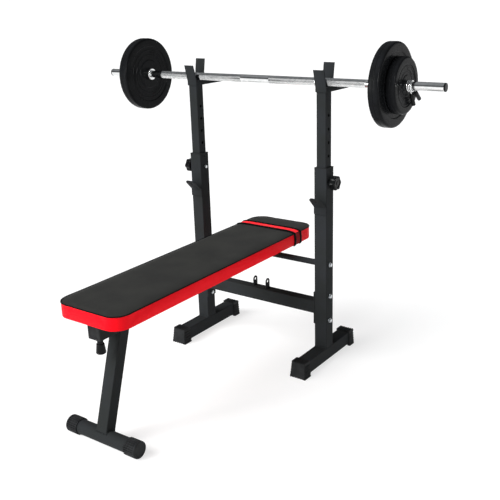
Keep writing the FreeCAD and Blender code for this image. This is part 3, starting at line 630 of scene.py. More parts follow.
# %% Ribs round a cap
def ribs_tree():
    """Copies of a rib standing round a circle about X, each one's Z pointing outwards."""
    tree, inputs, output = new_tree("ribs_round_cap", ("Rib", "Object"), ("Count", "Int"),
                                    ("Radius", "Float"), ("Centre", "Vector"))
    ring = add(tree, "GeometryNodeMeshCircle",
               {"Vertices": inputs["Count"], "Radius": inputs["Radius"]})
    upright = add(tree, "GeometryNodeTransform", {"Geometry": ring,
                                                 "Rotation": (0, math.pi / 2, 0)})
    outward = add(tree, "GeometryNodeInputPosition")
    turn = add(tree, "FunctionNodeAxesToRotation",
               {"Primary Axis": outward, "Secondary Axis": (1, 0, 0)},
               primary_axis="Z", secondary_axis="X")
    moved = add(tree, "GeometryNodeTransform",
                {"Geometry": copied(tree, upright, inputs["Rib"], turn),
                 "Translation": inputs["Centre"]})
    both = add(tree, "GeometryNodeJoinGeometry")
    for part in (inputs["Geometry"], moved.outputs["Geometry"]):
        tree.links.new(part, both.inputs["Geometry"])
    return finish_tree(tree, inputs, output, both)


RIBS = ribs_tree()
print("tree:", RIBS.name)

# %% Weld ripples along a seam
def weld_tree():
    """Overlapping ripples at an even spacing along a seam, with small seeded changes of size."""
    tree, inputs, output = new_tree("weld_along_seam", ("Ripple", "Object"), ("Spacing", "Float"),
                                    ("Seed", "Int"))
    seam = add(tree, "GeometryNodeMeshToCurve", {"Mesh": inputs["Geometry"]})
    spots = add(tree, "GeometryNodeResampleCurve", {"Curve": seam, "Length": inputs["Spacing"]},
                mode="LENGTH")
    turn = add(tree, "FunctionNodeAlignRotationToVector",
               {"Vector": add(tree, "GeometryNodeInputTangent")}, axis="X")
    size = add(tree, "FunctionNodeRandomValue", {"Seed": inputs["Seed"]}, data_type="FLOAT")
    size.inputs[2].default_value, size.inputs[3].default_value = 0.85, 1.12
    copies = copied(tree, spots, inputs["Ripple"], turn, Scale=size.outputs[1])
    return finish_tree(tree, inputs, output, copies)


WELD = weld_tree()
print("tree:", WELD.name)

# %% Wire along a path
def wire_tree():
    """A round wire of one radius that follows a chain of edges."""
    tree, inputs, output = new_tree("wire_along_path", ("Radius", "Float"), ("Sides", "Int"))
    path = add(tree, "GeometryNodeMeshToCurve", {"Mesh": inputs["Geometry"]})
    ring = add(tree, "GeometryNodeCurvePrimitiveCircle", {"Resolution": inputs["Sides"],
                                                         "Radius": inputs["Radius"]})
    wire = add(tree, "GeometryNodeCurveToMesh",
               {"Curve": path, "Profile Curve": ring, "Fill Caps": True})
    return finish_tree(tree, inputs, output, wire)


def chain(points, closed=False):
    """A chain of edges through points."""
    last = len(points) - 1
    return meshed(points, [], [(n, n + 1) for n in range(last)] + ([(last, 0)] if closed else []))


WIRE = wire_tree()
print("tree:", WIRE.name)

# %% [markdown]
# ## The pad
# The pad is a foam slab on a board, under a cover of three panels: a black top, a
# red border, and a folded hem stapled under the board. Its cover is stretched, so
# the top only just crowns and the border bellies a little between its two edges.
# It starts here as a cage of panels whose seam is one known loop of points, slightly
# smaller than the finished pad, and cloth under pressure then fills it out.

# %% The cage of the cover
PAD_LOW, PAD_HIGH = corners("pad_cushion")
PAD_CORNER = 54 * MM
SWELL = 2.2 * MM                      # the cage is this much inside the finished pad
SEAM_Z = PAD_HIGH.z - 2.6 * MM
HEM_Z = PAD_LOW.z - 0.7 * MM
COLUMNS, CORNER_ROWS, STRAIGHT_ROWS, BORDER_RINGS = 26, 8, 92, 6


def cage_rows():
    """The cage's rows from front to rear, as (y, half width)."""
    radius = PAD_CORNER - SWELL
    wide = PAD_HIGH.x - SWELL
    front, rear = PAD_LOW.y + SWELL, PAD_HIGH.y - SWELL
    corner = [(radius * (1 - math.cos(a)), wide - radius + radius * math.sin(a))
              for a in (math.pi / 2 * k / CORNER_ROWS for k in range(CORNER_ROWS))]
    straight = [(front + radius + (rear - front - 2 * radius) * k / STRAIGHT_ROWS, wide)
                for k in range(STRAIGHT_ROWS + 1)]
    return ([(front + dy, w) for dy, w in corner] + straight
            + [(rear - dy, w) for dy, w in reversed(corner)])


ROWS = cage_rows()
print(len(ROWS), "rows of", COLUMNS + 1, "points")

# %% Panels, border and hem
def pad_cage():
    """The cage's points and faces, its outline loop, and how firmly each point is held."""
    count_y, count_x = len(ROWS), COLUMNS + 1
    points, faces, held = [], [], []
    for layer in ("top", "bottom"):
        for y, half in ROWS:
            for j in range(count_x):
                x = half * (2 * j / COLUMNS - 1)
                inside = min(half - abs(x), y - ROWS[0][0], ROWS[-1][0] - y)
                if layer == "top":
                    crown = 1.6 * MM * min(1, inside / (40 * MM))
                    points.append((x, y, SEAM_Z + crown))
                    held.append(0.0)
                else:
                    points.append((x, y, HEM_Z if inside < 21 * MM else HEM_Z + 3 * MM))
                    held.append(1.0)
    size = count_y * count_x
    for i in range(count_y - 1):
        for j in range(COLUMNS):
            a = i * count_x + j
            faces.append((a, a + 1, a + count_x + 1, a + count_x))
            faces.append((size + a, size + a + count_x, size + a + count_x + 1, size + a + 1))
    loop = list(range(count_x))
    loop += [i * count_x + COLUMNS for i in range(1, count_y)]
    loop += [(count_y - 1) * count_x + j for j in range(COLUMNS - 1, -1, -1)]
    loop += [i * count_x for i in range(count_y - 2, 0, -1)]
    rings = [loop]
    for ring in range(1, BORDER_RINGS):
        t = ring / BORDER_RINGS
        first = len(points)
        for n in loop:
            x, y, z = points[n]
            points.append((x, y, SEAM_Z + (HEM_Z - SEAM_Z) * t))
            held.append(0.0 if ring < BORDER_RINGS - 1 else 0.4)
        rings.append(list(range(first, first + len(loop))))
    rings.append([size + n for n in loop])
    for upper, lower in zip(rings, rings[1:]):
        for k in range(len(loop)):
            k2 = (k + 1) % len(loop)
            faces.append((upper[k], lower[k], lower[k2], upper[k2]))
    for n in loop:
        held[n] = 0.35
    return points, faces, loop, held, size


CAGE_POINTS, CAGE_FACES, SEAM_LOOP, HELD, TOP_COUNT = pad_cage()
print("cage:", len(CAGE_POINTS), "points, seam loop of", len(SEAM_LOOP))

# %% [markdown]
# Cloth with a little inner pressure and no gravity swells the cage for 20 frames. No
# point may move more than 4 mm, because foam this firm hardly gives. The hem is held
# still where the board is behind it, and the seam is held lightly by its piping.

# %% Swelling the cover
SETTLE_FRAMES = 20


def swollen(mesh):
    """The cage's points after the cloth has settled, none moved by more than the cap."""
    cap = 4 * MM
    cover = placed("swelling_cover", mesh)
    group = cover.vertex_groups.new(name="held")
    for number, weight in enumerate(HELD):
        group.add([number], weight, "REPLACE")
    cloth = cover.modifiers.new("cloth", "CLOTH")
    stuff = cloth.settings
    stuff.quality, stuff.mass = 6, 0.4
    stuff.tension_stiffness = stuff.compression_stiffness = 40
    stuff.shear_stiffness, stuff.bending_stiffness = 20, 2
    stuff.use_pressure, stuff.uniform_pressure_force = True, 4
    stuff.vertex_group_mass, stuff.pin_stiffness = "held", 1
    stuff.effector_weights.gravity = 0
    cloth.point_cache.frame_start, cloth.point_cache.frame_end = 1, SETTLE_FRAMES
    for number in range(1, SETTLE_FRAMES + 1):
        bpy.context.scene.frame_set(number)
    settled = cover.evaluated_get(bpy.context.evaluated_depsgraph_get()).data
    result = []
    for before, after in zip(CAGE_POINTS, settled.vertices):
        move = after.co - Vector(before)
        result.append(Vector(before) + move * min(1, cap / max(move.length, 1e-9)))
    bpy.context.scene.frame_set(1)
    bpy.data.objects.remove(cover)
    return result


pad_points = swollen(meshed(CAGE_POINTS, CAGE_FACES))
rise = max(p.z for p in pad_points)
print("top of the cover at", round(rise, 4), "widest", round(max(p.x for p in pad_points), 4))

# %% [markdown]
# The finished pad is the swollen cage with one level of subdivision. Its seam keeps
# most of its crease, the top panel is black and everything else is red.

# %% The finished pad
def finish_pad():
    """The cover as a smooth closed piece with its two vinyls."""
    mesh = meshed(pad_points, CAGE_FACES)
    for vinyl in ("black_leathercloth", "red_leathercloth"):
        mesh.materials.append(FINISHES[vinyl])
    for face in mesh.polygons:
        face.material_index = 0 if all(n < TOP_COUNT for n in face.vertices) else 1
    work = bmesh.new()
    work.from_mesh(mesh)
    crease = work.edges.layers.float.new("crease_edge")
    seam = set(SEAM_LOOP)
    hem = {n + TOP_COUNT for n in SEAM_LOOP}
    for edge in work.edges:
        ends = {v.index for v in edge.verts}
        if ends <= seam and len({f.material_index for f in edge.link_faces}) == 2:
            edge[crease] = 0.75
        elif ends <= hem:
            edge[crease] = 0.45
    work.to_mesh(mesh)
    work.free()
    helper = placed("helper", mesh)
    smooth = helper.modifiers.new("smooth", "SUBSURF")
    smooth.levels = smooth.render_levels = 1
    return settle("bench_pad", applied(helper), "bench", "vinyl_red", ["pad_cushion"], 60)


bench_pad = finish_pad()
SKIN = BVHTree.FromPolygons([v.co.copy() for v in bench_pad.data.vertices],
                            [tuple(p.vertices) for p in bench_pad.data.polygons])

# %% [markdown]
# Piping is a thin cord in a strip of vinyl, sewn into the seam between the top and
# the border. It follows the seam loop, pressed halfway into the cover.

# %% Piping along the seam
def on_skin(point, lift):
    """The nearest place on the cover, lifted off it."""
    spot, normal, _, _ = SKIN.find_nearest(Vector(point))
    return spot + normal * lift


seam_path = [on_skin(pad_points[n] + Vector((0, 0, 0.6 * MM)), 0.2 * MM) for n in SEAM_LOOP]
settle("pad_seam_piping", grown(WIRE, chain(seam_path, closed=True), "black_vinyl_piping",
                                Radius=1.9 * MM, Sides=10), "bench", "vinyl_black")

# %% [markdown]
# A red band crosses the pad near its head end, with a black cord down each side of
# it, and is held under the board. Its section is swept round the pad: each point of
# the section is a place across the band and a height above the cover, and the sweep
# finds the cover under it. Fine ribs run along the band, as on woven elastic.

# %% Sweeping a band round the pad
BAND_Y = RACK_Y + 55 * MM
BAND_HALF = 14 * MM
BAND_CLEAR = 12 * MM                  # how far outside the pad the sweep runs
BAND_WIDE, BAND_TUCK = 147 * MM, 112 * MM
SUNK = -0.8 * MM                      # how deep a band's base sits in the cover


def band_route(samples=150):
    """Points outside the pad, from under one edge over the top to under the other."""
    low, high = PAD_LOW.z - BAND_CLEAR, PAD_HIGH.z + BAND_CLEAR
    corner_points = [(-BAND_TUCK, low), (-BAND_WIDE, low), (-BAND_WIDE, high),
                     (BAND_WIDE, high), (BAND_WIDE, low), (BAND_TUCK, low)]
    soft = filleted(corner_points, [0, 0.012, 0.02, 0.02, 0.012, 0], closed=False, steps=10)
    lengths = [0.0]
    for a, b in zip(soft, soft[1:]):
        lengths.append(lengths[-1] + math.dist(a, b))
    route = []
    for k in range(samples + 1):
        goal = lengths[-1] * k / samples
        n = next(i for i, length in enumerate(lengths) if length >= goal - 1e-9)
        n = max(min(n, len(soft) - 1), 1)
        t = (goal - lengths[n - 1]) / max(lengths[n] - lengths[n - 1], 1e-9)
        route.append(tuple(a + (b - a) * t for a, b in zip(soft[n - 1], soft[n])))
    return route


def band(name, section, slot, finish=None):
    """Sweep a closed section of (across, height) round the pad."""
    rings = [[on_skin((x, BAND_Y + across, z), high) for across, high in section]
             for x, z in band_route()]
    return settle(name, skin(rings), "bench", slot, smooth=50, finish=finish)


RIBS_ACROSS = 5
top_edge = [(BAND_HALF * (2 * k / 36 - 1),
             (1.3 + 0.5 * math.cos(math.tau * RIBS_ACROSS * k / 36)) * MM) for k in range(37)]
# The band's top takes the lighter red, a painted sheen.
cross_band = band("pad_cross_band", top_edge + [(BAND_HALF, SUNK), (-BAND_HALF, SUNK)],
                  "vinyl_red", "painted_sheen_red_leathercloth")
# Faces below the seam take the darker red, painted shade down the pad's sides and under it.
cross_band.data.materials.append(FINISHES["painted_shade_red_leathercloth"])
for face in cross_band.data.polygons:
    if face.center.z < SEAM_Z - 3 * MM:
        face.material_index = 1
CORD, CORD_HIGH = 6.5 * MM, 5.0 * MM
for label, offset in (("front", -BAND_HALF - CORD * 0.8), ("rear", BAND_HALF + CORD * 0.8)):
    arch = [(offset + CORD * math.cos(a), CORD_HIGH * math.sin(a))
            for a in (math.pi * k / 8 for k in range(9))]
    band(f"pad_band_cord_{label}", arch + [(offset - CORD, SUNK), (offset + CORD, SUNK)],
         "vinyl_black")

# %% [markdown]
# The hem under the board is held by wire staples, 10 mm wide, at every third point of
# the seam loop. One staple is drawn once and copied to points along the hem.

# %% Staples under the hem
def staple():
    """One staple crown, a short flattened wire along X."""
    path = [(x * MM, 0, z * MM) for x, z in ((-5, -0.8), (-5, 0.35), (5, 0.35), (5, -0.8))]
    return grown(WIRE, chain(path), "bright_zinc_plate", Radius=0.45 * MM, Sides=6)


PAD_MIDDLE_Y = (PAD_LOW.y + PAD_HIGH.y) / 2
spots = []
for n in range(0, len(SEAM_LOOP), 3):
    x, y, _ = CAGE_POINTS[SEAM_LOOP[n]]
    inward = Vector((-x, 0, 0)) if abs(x) > 0.12 else Vector((0, PAD_MIDDLE_Y - y, 0))
    spot = Vector((x, y, 0)) + inward.normalized() * 12 * MM
    if abs(spot.y - BAND_Y) > 26 * MM:
        spots.append(((spot.x, spot.y, HEM_Z - 0.1 * MM), (0, 0, -1)))
staples = grown(FASTENERS, points_facing(spots), "bright_zinc_plate", Piece=stand_in(staple()))
settle("hem_staples", staples, "bench", "zinc_steel")

# %% [markdown]
# ## Nuts, bolts and washers
# Machine bolts have a hexagon head with a coned top: where the cone meets the six
# flats it leaves the six curved scallops that tell a real bolt from a plain prism.
# Each head is drawn once and copied to its places by the fasteners tree.

# %% A hexagon head, a washer and a nut
ACROSS = 6.5 * MM                     # half of 13 mm across the flats
SHANK = 4 * MM
HEAD_HIGH, NUT_HIGH = 5.3 * MM, 6.8 * MM
CONE = math.tan(math.radians(28))
CONE_EDGE = 0.93 * ACROSS


def hexagon_rings(high, chamfer_low=False):
    """Rings of a hexagon with its top, and perhaps its foot, turned to a cone."""
    def ring(shape):
        spots = []
        for k in range(24):
            angle = math.tau * k / 24
            reach = ACROSS / math.cos((angle + math.pi / 6) % (math.pi / 3) - math.pi / 6)
            r, z = shape(reach, (reach - CONE_EDGE) * CONE)
            spots.append(Vector((r * math.cos(angle), r * math.sin(angle), z)))
        return spots

    shapes = [lambda reach, drop: (reach, 0)]
    if chamfer_low:
        shapes = [lambda reach, drop: (CONE_EDGE, 0), lambda reach, drop: (reach, drop)]
    shapes += [lambda reach, drop: (reach, high - drop), lambda reach, drop: (CONE_EDGE, high)]
    return [ring(shape) for shape in shapes]


def circle(radius, height, count=24):
    """A ring of points about Z."""
    angles = [math.tau * k / count for k in range(count)]
    return [Vector((radius * math.cos(a), radius * math.sin(a), height)) for a in angles]


def bolt(shank_long):
    """A bolt that stands on Z = 0 with its shank below it."""
    return joined(skin(hexagon_rings(HEAD_HIGH)),
                  skin([circle(SHANK * 0.8, -shank_long), circle(SHANK, -shank_long + 0.8 * MM),
                        circle(SHANK, 0)]))


def nut():
    """A nut that stands on Z = 0, coned on both sides."""
    return skin(hexagon_rings(NUT_HIGH, chamfer_low=True)
                + [circle(SHANK, NUT_HIGH), circle(SHANK, 0)], round_again=True)


WASHER_THICK = 1.6
washer = turned([(0, 8.5, 0.3), (WASHER_THICK, 8.5, 0.5), (WASHER_THICK, 4.2, 0.2), (0, 4.2, 0.1)],
                (0, 0, 0), 40, "z", closed=True, fine=2)

# %% Bolts through the uprights
BEAM = middle("lower_crossbeam")
BOLT_ROWS = [middle("hinge_crossbar").z, BEAM.z + 48 * MM, BEAM.z - 48 * MM]
OUTER_FACE = corners("upright_right")[1].x
INNER_FACE = 250 * MM


def fastened(spots, piece):
    """A fastener at each (place, facing)."""
    return grown(FASTENERS, points_facing(spots), "bright_zinc_plate", Piece=stand_in(piece))


heads, washers, nuts = [], [], []
for sign in SIDES.values():
    for row, z in enumerate(BOLT_ROWS):
        out = (sign, 0, 0)
        heads.append(((sign * (OUTER_FACE + WASHER_THICK * MM), RACK_Y, z), out))
        washers.append(((sign * OUTER_FACE, RACK_Y, z), out))
        if row:
            nuts.append(((sign * INNER_FACE, RACK_Y, z), (-sign, 0, 0)))
for name, spots, piece, node in (("upright_bolts", heads, bolt(64.4 * MM), "frame_bolts"),
                                 ("upright_washers", washers, washer, "frame_washers"),
                                 ("upright_nuts", nuts, nut(), "frame_nuts")):
    settle(name, fastened(spots, piece), "rack", "zinc_steel", [node], 25)

pivot = middle("leg_pivot_bolt")
leg_bolt = joined(fastened([((25 * MM, pivot.y, pivot.z), (1, 0, 0))], bolt(58.6 * MM)),
                  fastened([((-25 * MM, pivot.y, pivot.z), (-1, 0, 0))], nut()))
settle("leg_bolt_and_nut", leg_bolt, "bench", "zinc_steel", ["leg_pivot_bolt"], 25)

# %% [markdown]
# ## Weld beads
# The frame is welded before it is coated, so each bead is the frame's own colour: a
# row of overlapping ripples 3 to 6 mm wide. One ripple is a squashed ball, and the
# weld tree lays it every 2 mm along a seam, with its size changing a little.

# %% A ripple and the seams
def ripple(across):
    """A squashed ball, short along the seam."""
    work = bmesh.new()
    bmesh.ops.create_icosphere(work, subdivisions=2, radius=across)
    bmesh.ops.scale(work, vec=(0.75, 1, 1), verts=work.verts)
    mesh = bpy.data.meshes.new("ripple")
    work.to_mesh(mesh)
    work.free()
    return mesh


def weld(name, seams, body, across, seed=1):
    """Beads along several seams, as one piece."""
    piece = stand_in(ripple(across))
    runs = [grown(WELD, chain(seam), "satin_powder_coat", Ripple=piece, Spacing=1.9 * MM,
                  Seed=seed + n) for n, seam in enumerate(seams)]
    return settle(name, joined(*runs), body, "frame_coat")


FOOT_TOP = corners("foot_tube_right")[1].z
TUBE = 25 * MM
for side, sign in SIDES.items():
    x = sign * middle("upright_right").x
    weld(f"foot_weld_{side}", [[(x - 22 * MM, y, FOOT_TOP), (x + 22 * MM, y, FOOT_TOP)]
                               for y in (RACK_Y - TUBE, RACK_Y + TUBE)], "rack", 3.2 * MM)
    low = corners(f"catch_hook_{side}")[0].z
    edge = RACK_Y - TUBE - 0.6 * MM
    weld(f"catch_weld_{side}", [[(x - 20 * MM, edge, low), (x + 20 * MM, edge, low)]], "rack",
         1.7 * MM, seed=9)

beads = []
for sign in SIDES.values():
    x = sign * (INNER_FACE - 0.4 * MM)
    for up in (-1, 1):
        z = BEAM.z + up * TUBE
        beads.append([(x, RACK_Y - 17 * MM, z), (x, RACK_Y + 17 * MM, z)])
    for across in (-1, 1):
        y = RACK_Y + across * 20 * MM
        beads.append([(x, y, BEAM.z - 22 * MM), (x, y, BEAM.z + 22 * MM)])
weld("crossbeam_welds", beads, "rack", 2.0 * MM, seed=21)

low, high = corners("decline_bracket")
weld("bracket_welds", [[(low.x + 1 * MM, RACK_Y + d, BEAM.z + TUBE),
                        (high.x - 1 * MM, RACK_Y + d, BEAM.z + TUBE)]
                       for d in (-12 * MM, 12 * MM)], "rack", 1.6 * MM, seed=31)

# %% Weld where the leg meets its foot
FOOT = middle("leg_foot_tube")
FOOT_R = 24 * MM
LEAN = math.atan2(FOOT.y - pivot.y, pivot.z - FOOT.z)
LEG_HALF_X, LEG_HALF_Y = 22.5 * MM, 20 * MM


def on_foot(share):
    """The place on the round foot at a share of the leg's half depth, as (y, z)."""
    angle = math.asin(share * LEG_HALF_Y / FOOT_R) - LEAN
    return FOOT.y + FOOT_R * math.sin(angle), FOOT.z + FOOT_R * math.cos(angle)


seams = [[(-LEG_HALF_X, *on_foot(share)), (LEG_HALF_X, *on_foot(share))] for share in (-1, 1)]
seams += [[(sign * (LEG_HALF_X + 0.3 * MM), *on_foot(k / 6 - 1)) for k in range(13)]
          for sign in SIDES.values()]
weld("leg_foot_weld", seams, "front_leg", 2.2 * MM, seed=41)

# %% [markdown]
# ## Foot caps
# The square caps on the foot tubes are moulded with ribs that run along the tube,
# over the top, down the sides and under the sole for grip. A smooth end wall closes
# them, and they are wider at the floor than at the top. The front ones lean back.

# %% A ribbed square cap
CAP_RIBS = 6
CAP_TOP_HALF, GROOVE, CAP_LEAN = 28 * MM, 2.8 * MM, 8 * MM


def ribbed_outline(low_half, high_half, low, high, depth):
    """The cap's section: a tapered square with square grooves between its ribs."""
    bends = [Vector((-low_half, low)), Vector((low_half, low)), Vector((high_half, high)),
             Vector((-high_half, high))]
    points = []
    for a, b in zip(bends, bends[1:] + bends[:1]):
        inward = Vector((-(b - a).y, (b - a).x)).normalized()
        for k in range(CAP_RIBS):
            for t, sunk in ((k, 0), (k + 0.50, 0), (k + 0.55, 1), (k + 0.95, 1)):
                sunk_here = depth * sunk if k < CAP_RIBS - 1 else 0
                points.append(a + (b - a) * (t / CAP_RIBS) + inward * sunk_here)
    return points


def foot_cap(side, end):
    """One cap: a smooth end wall, and ribs along the tube from its rounded edge."""
    node = f"foot_cap_{end}_{side}"
    low, high = corners(node)
    x = (low.x + high.x) / 2
    way, outer, lean_all = (1, low.y, CAP_LEAN) if end == "front" else (-1, high.y, 0)
    long = abs(high.y - low.y)
    flat, ribbed = (ribbed_outline((high.x - low.x) / 2, CAP_TOP_HALF, low.z, high.z, depth)
                    for depth in (0, GROOVE))
    centre = Vector((0, (low.z + high.z) / 2))

    def ring(section, along, shrink=0.0):
        """One ring, leaning back towards its top near the end wall."""
        spots = [p + (centre - p).normalized() * shrink for p in section]
        lean = lean_all * (1 - along / long)
        tall = high.z - low.z
        return [Vector((x + p.x, outer + way * (along + lean * (p.y - low.z) / tall), p.y))
                for p in spots]

    rings = [ring(flat, 0, 3.6 * MM), ring(flat, 0.5 * MM, 3.0 * MM),
             ring(ribbed, 1.4 * MM, 0.4 * MM), ring(ribbed, 2.4 * MM),
             ring(ribbed, long - 0.6 * MM), ring(ribbed, long, 0.6 * MM)]
    return settle(f"{node}_ribbed", skin(rings), "rack", "cap_rubber", [node], 30)


for side in SIDES:
    for end in ("front", "rear"):
        foot_cap(side, end)

# %% [markdown]
# ## Leg caps
# The round foot of the leg ends in caps with twenty-four ribs along their length. The
# cap is turned, its smooth end face slightly larger than its body, and the ribs tree
# stands one rounded rib at each step round it.

# %% A rounded rib and the turned cap
CAP_BODY_R, CAP_FACE_R = 24.4, 27.5


def cap_rib(long, wide, high):
    """A rib along X with a rounded back, standing on Z = 0."""
    half = [(wide / 2, -1 * MM), (wide / 2, high * 0.55), (wide * 0.28, high)]
    section = [(-y, z) for y, z in half] + half[::-1]
    return skin([[Vector((x, y, z)) for y, z in section] for x in (-long / 2, long / 2)])


for side, sign in SIDES.items():
    node = f"leg_cap_{side}"
    low, high = corners(node)
    centre, long = (low + high) / 2, high.x - low.x
    end = long / 2 / MM
    body = turned([(-end, 24, 0), (-end, CAP_BODY_R, 0.5), (end - 6, CAP_BODY_R, 0),
                   (end - 6, CAP_FACE_R, 0.5), (end, CAP_FACE_R, 2.2), (end, 22, 0.3),
                   (end - 0.8, 21, 0.3), (end - 0.8, 0, 0)], centre, 96, sign=sign)
    cap = grown(RIBS, body, "eroded_polypropylene", Count=24, Radius=CAP_BODY_R * MM,
                Rib=stand_in(cap_rib(long - 4 * MM, 4.3 * MM, 3.5 * MM)),
                Centre=tuple(centre - Vector((sign * 2 * MM, 0, 0))))
    settle(f"{node}_ribbed", cap, "front_leg", "cap_rubber", [node], 30)

# %% [markdown]
# ## Knobs
# The locking knobs have six soft lobes to grip. Their rings are circles whose radius
# swells and shrinks six times round, less and less towards the hub. The pull knob
# under the pad is a plain turned cup that flares towards its foot and slides over
# the bush of its pin.

# %% Lobed locking knobs
LOBES, LOBE_DEEP, KNOB_STEPS = 6, 3.6 * MM, 120


def lobed_knob(side):
    """A six-lobed knob about X, with a dished face and a small cap in its middle."""
    node, sign = f"lock_knob_{side}", SIDES[side]
    low, high = corners(node)
    centre = (low + high) / 2
    centre.x = low.x if sign > 0 else high.x
    thick = high.x - low.x
    outline = filleted([(0, 0), (0, 22 * MM), (2.5 * MM, 26 * MM), (thick, 26 * MM),
                        (thick - 0.4 * MM, 17 * MM), (thick - 2.4 * MM, 13 * MM),
                        (thick - 2.4 * MM, 8 * MM), (thick - 1.0 * MM, 7 * MM),
                        (thick - 0.8 * MM, 0)],
                       [r * MM for r in (0, 1.5, 3, 4, 2, 1.5, 0.6, 0.8, 0)],
                       closed=False, steps=5)
    rings = []
    for along, radius in outline:
        share = min(1, max(0, (radius - 12 * MM) / (10 * MM)))
        ring = []
        for k in range(KNOB_STEPS):
            angle = math.tau * k / KNOB_STEPS
            wave = 0.5 - 0.5 * math.cos(LOBES * angle)
            reach = max(radius - share * LOBE_DEEP * wave, 1e-5)
            ring.append(centre + Vector((sign * along, reach * math.cos(angle),
                                         reach * math.sin(angle))))
        rings.append(ring)
    return settle(f"{node}_lobed", skin(rings), node, "knob_plastic", [node], 45)


for side in SIDES:
    lobed_knob(side)

# %% The pull knob, its bush and its spring
low, high = corners("pull_pin_knob")
tall, wide = (high.z - low.z) / MM, (high.x - low.x) / 2 / MM
NECK, BORE, BORE_DEEP = 12.2, 10.1, 12
knob = turned([(0, 0, 0), (0, wide - 1.6, 2.5), (4, wide, 3), (tall, NECK, 0.9), (tall, BORE, 0.4),
               (tall - BORE_DEEP, BORE, 0), (tall - BORE_DEEP, 0, 0)],
              ((low.x + high.x) / 2, (low.y + high.y) / 2, low.z), 64, "z", fine=5)
settle("pull_knob_turned", knob, "pull_pin", "knob_plastic", ["pull_pin_knob"], 45)
eased("pull_pin_bush", 0.8 * MM)

low, high = corners("pull_pin_spring")
coils = frame["nodes"]["pull_pin_spring"].data.copy()
coils.materials.clear()
spring = settle("pull_pin_coils", coils, "bench", SLOT_OF["pull_pin_spring"], ["pull_pin_spring"])
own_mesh(spring)

# %% The plug in the beam's front end
def beam_plug():
    """A square plug with rounded edges and a shallow panel sunk in its face."""
    low, high = corners("beam_plug_front")
    x, z = (low.x + high.x) / 2, (low.z + high.z) / 2
    back, depth = 4, (high.y - low.y) / MM

    def ring(half, y, corner):
        """A rounded square, its half width, place and corner in millimetres."""
        half = half * MM
        square = filleted([(-half, -half), (half, -half), (half, half), (-half, half)],
                          [corner * MM] * 4)
        return [Vector((x + a, low.y + y * MM, z + b)) for a, b in square]

    rings = [ring(*sizes) for sizes in (
        (17, 1, 2), (17.6, 0.9, 2), (18.4, 0, 2.4), (23.6, 0, 3), (24.7, 0.4, 3.4),
        (25, 1.3, 3.6), (25, back, 3.6), (22.8, back, 2), (22.6, depth, 2))]
    settle("beam_plug_front_panelled", skin(rings), "bench", "knob_plastic", ["beam_plug_front"],
           35, finish="eroded_polypropylene")


beam_plug()

# %% [markdown]
# ## The barbell
# The bar is one turned length of steel with knurled grips. Knurling presses a lattice
# of small pyramids into the metal. Its real pitch is about 1.5 mm; here it is 2.6 mm,
# coarse enough to glitter at this distance. The lattice needs only two rows and two
# columns to each pyramid, if every square is split along its valley.

# %% The knurled and the smooth lengths
BAR_END = corners("bar")[1].x
BAR_AXIS = Vector((0, RACK_Y, BAR_Z))
SHAFT_R, SLEEVE_R, SLEEVE_START = 13.75 * MM, 14 * MM, 606 * MM
GRIP_SPANS = ((-440, -262), (-250, -60), (60, 250), (262, 440))


def knurl(start, end, pitch=2.6 * MM, depth=0.45 * MM):
    """A knurled sleeve of pyramids between two places along the bar."""
    columns = 2 * round(math.tau * SHAFT_R / pitch)
    rows = 2 * round((end - start) / pitch)
    points, faces = [], []
    for i in range(rows + 1):
        x = start + (end - start) * i / rows
        for j in range(columns):
            angle = math.tau * j / columns
            peak = (i + j) % 2 and 0 < i < rows
            radius = SHAFT_R + (0.05 * MM if peak else -depth)
            points.append((x, RACK_Y + radius * math.sin(angle), BAR_Z + radius * math.cos(angle)))
    for i in range(rows):
        for j in range(columns):
            j2 = (j + 1) % columns
            a, b = i * columns + j, i * columns + j2
            d, c = (i + 1) * columns + j, (i + 1) * columns + j2
            faces += [(a, b, c), (a, c, d)] if (i + j) % 2 == 0 else [(a, b, d), (b, c, d)]
    faces.append(tuple(reversed(range(columns))))
    faces.append(tuple(rows * columns + j for j in range(columns)))
    return meshed(points, faces)


def make_bar():
    """The bar's smooth lengths, with a shallow ring at each end of a grip, and its grips."""
    outline = [(-BAR_END, 0), (-BAR_END, 12.6 * MM), (-BAR_END + 1.4 * MM, SLEEVE_R),
               (-SLEEVE_START, SLEEVE_R), (-SLEEVE_START + 0.4 * MM, SHAFT_R)]
    for start, end in GRIP_SPANS:
        start, end = start * MM, end * MM
        outline += [(start, SHAFT_R), (start + 0.5 * MM, SHAFT_R - 0.8 * MM),
                    (end - 0.5 * MM, SHAFT_R - 0.8 * MM), (end, SHAFT_R)]
    outline += [(-x, r) for x, r in reversed(outline[:5])]
    smooth = lathe(outline, BAR_AXIS, 64, closed=False)
    settle("bar_smooth_lengths", smooth, "barbell", "bar_chrome", ["bar"], 30)
    grips = joined(*(knurl(a * MM + 0.6 * MM, b * MM - 0.6 * MM) for a, b in GRIP_SPANS))
    settle("bar_knurled_grips", grips, "barbell", "bar_chrome", smooth=1)


make_bar()

# %% Collar rings and end caps
RING_START, RING_END, SHAFT = 495.5, 507.5, SHAFT_R / MM
TIP = BAR_END / MM
rings, caps = [], []
for sign in SIDES.values():
    rings.append(turned([(RING_START, 22, 2.4), (RING_END, 22, 1.2), (RING_END, SHAFT, 0),
                         (RING_START, SHAFT, 0.6)], BAR_AXIS, 72, sign=sign, closed=True))
    caps.append(turned([(TIP - 2, 0, 0), (TIP - 2, 12, 0), (TIP, 12.4, 0), (TIP, 14, 0.4),
                        (TIP + 4, 14, 1.8), (TIP + 4, 0, 0)], BAR_AXIS, 64, sign=sign))
settle("collar_rings", joined(*rings), "barbell", "bar_chrome", ["inner_rings"], 35)
settle("bar_end_caps_rounded", joined(*caps), "barbell", SLOT_OF["bar_end_caps"],
       ["bar_end_caps"], 35, finish="glossy_moulded_nylon")

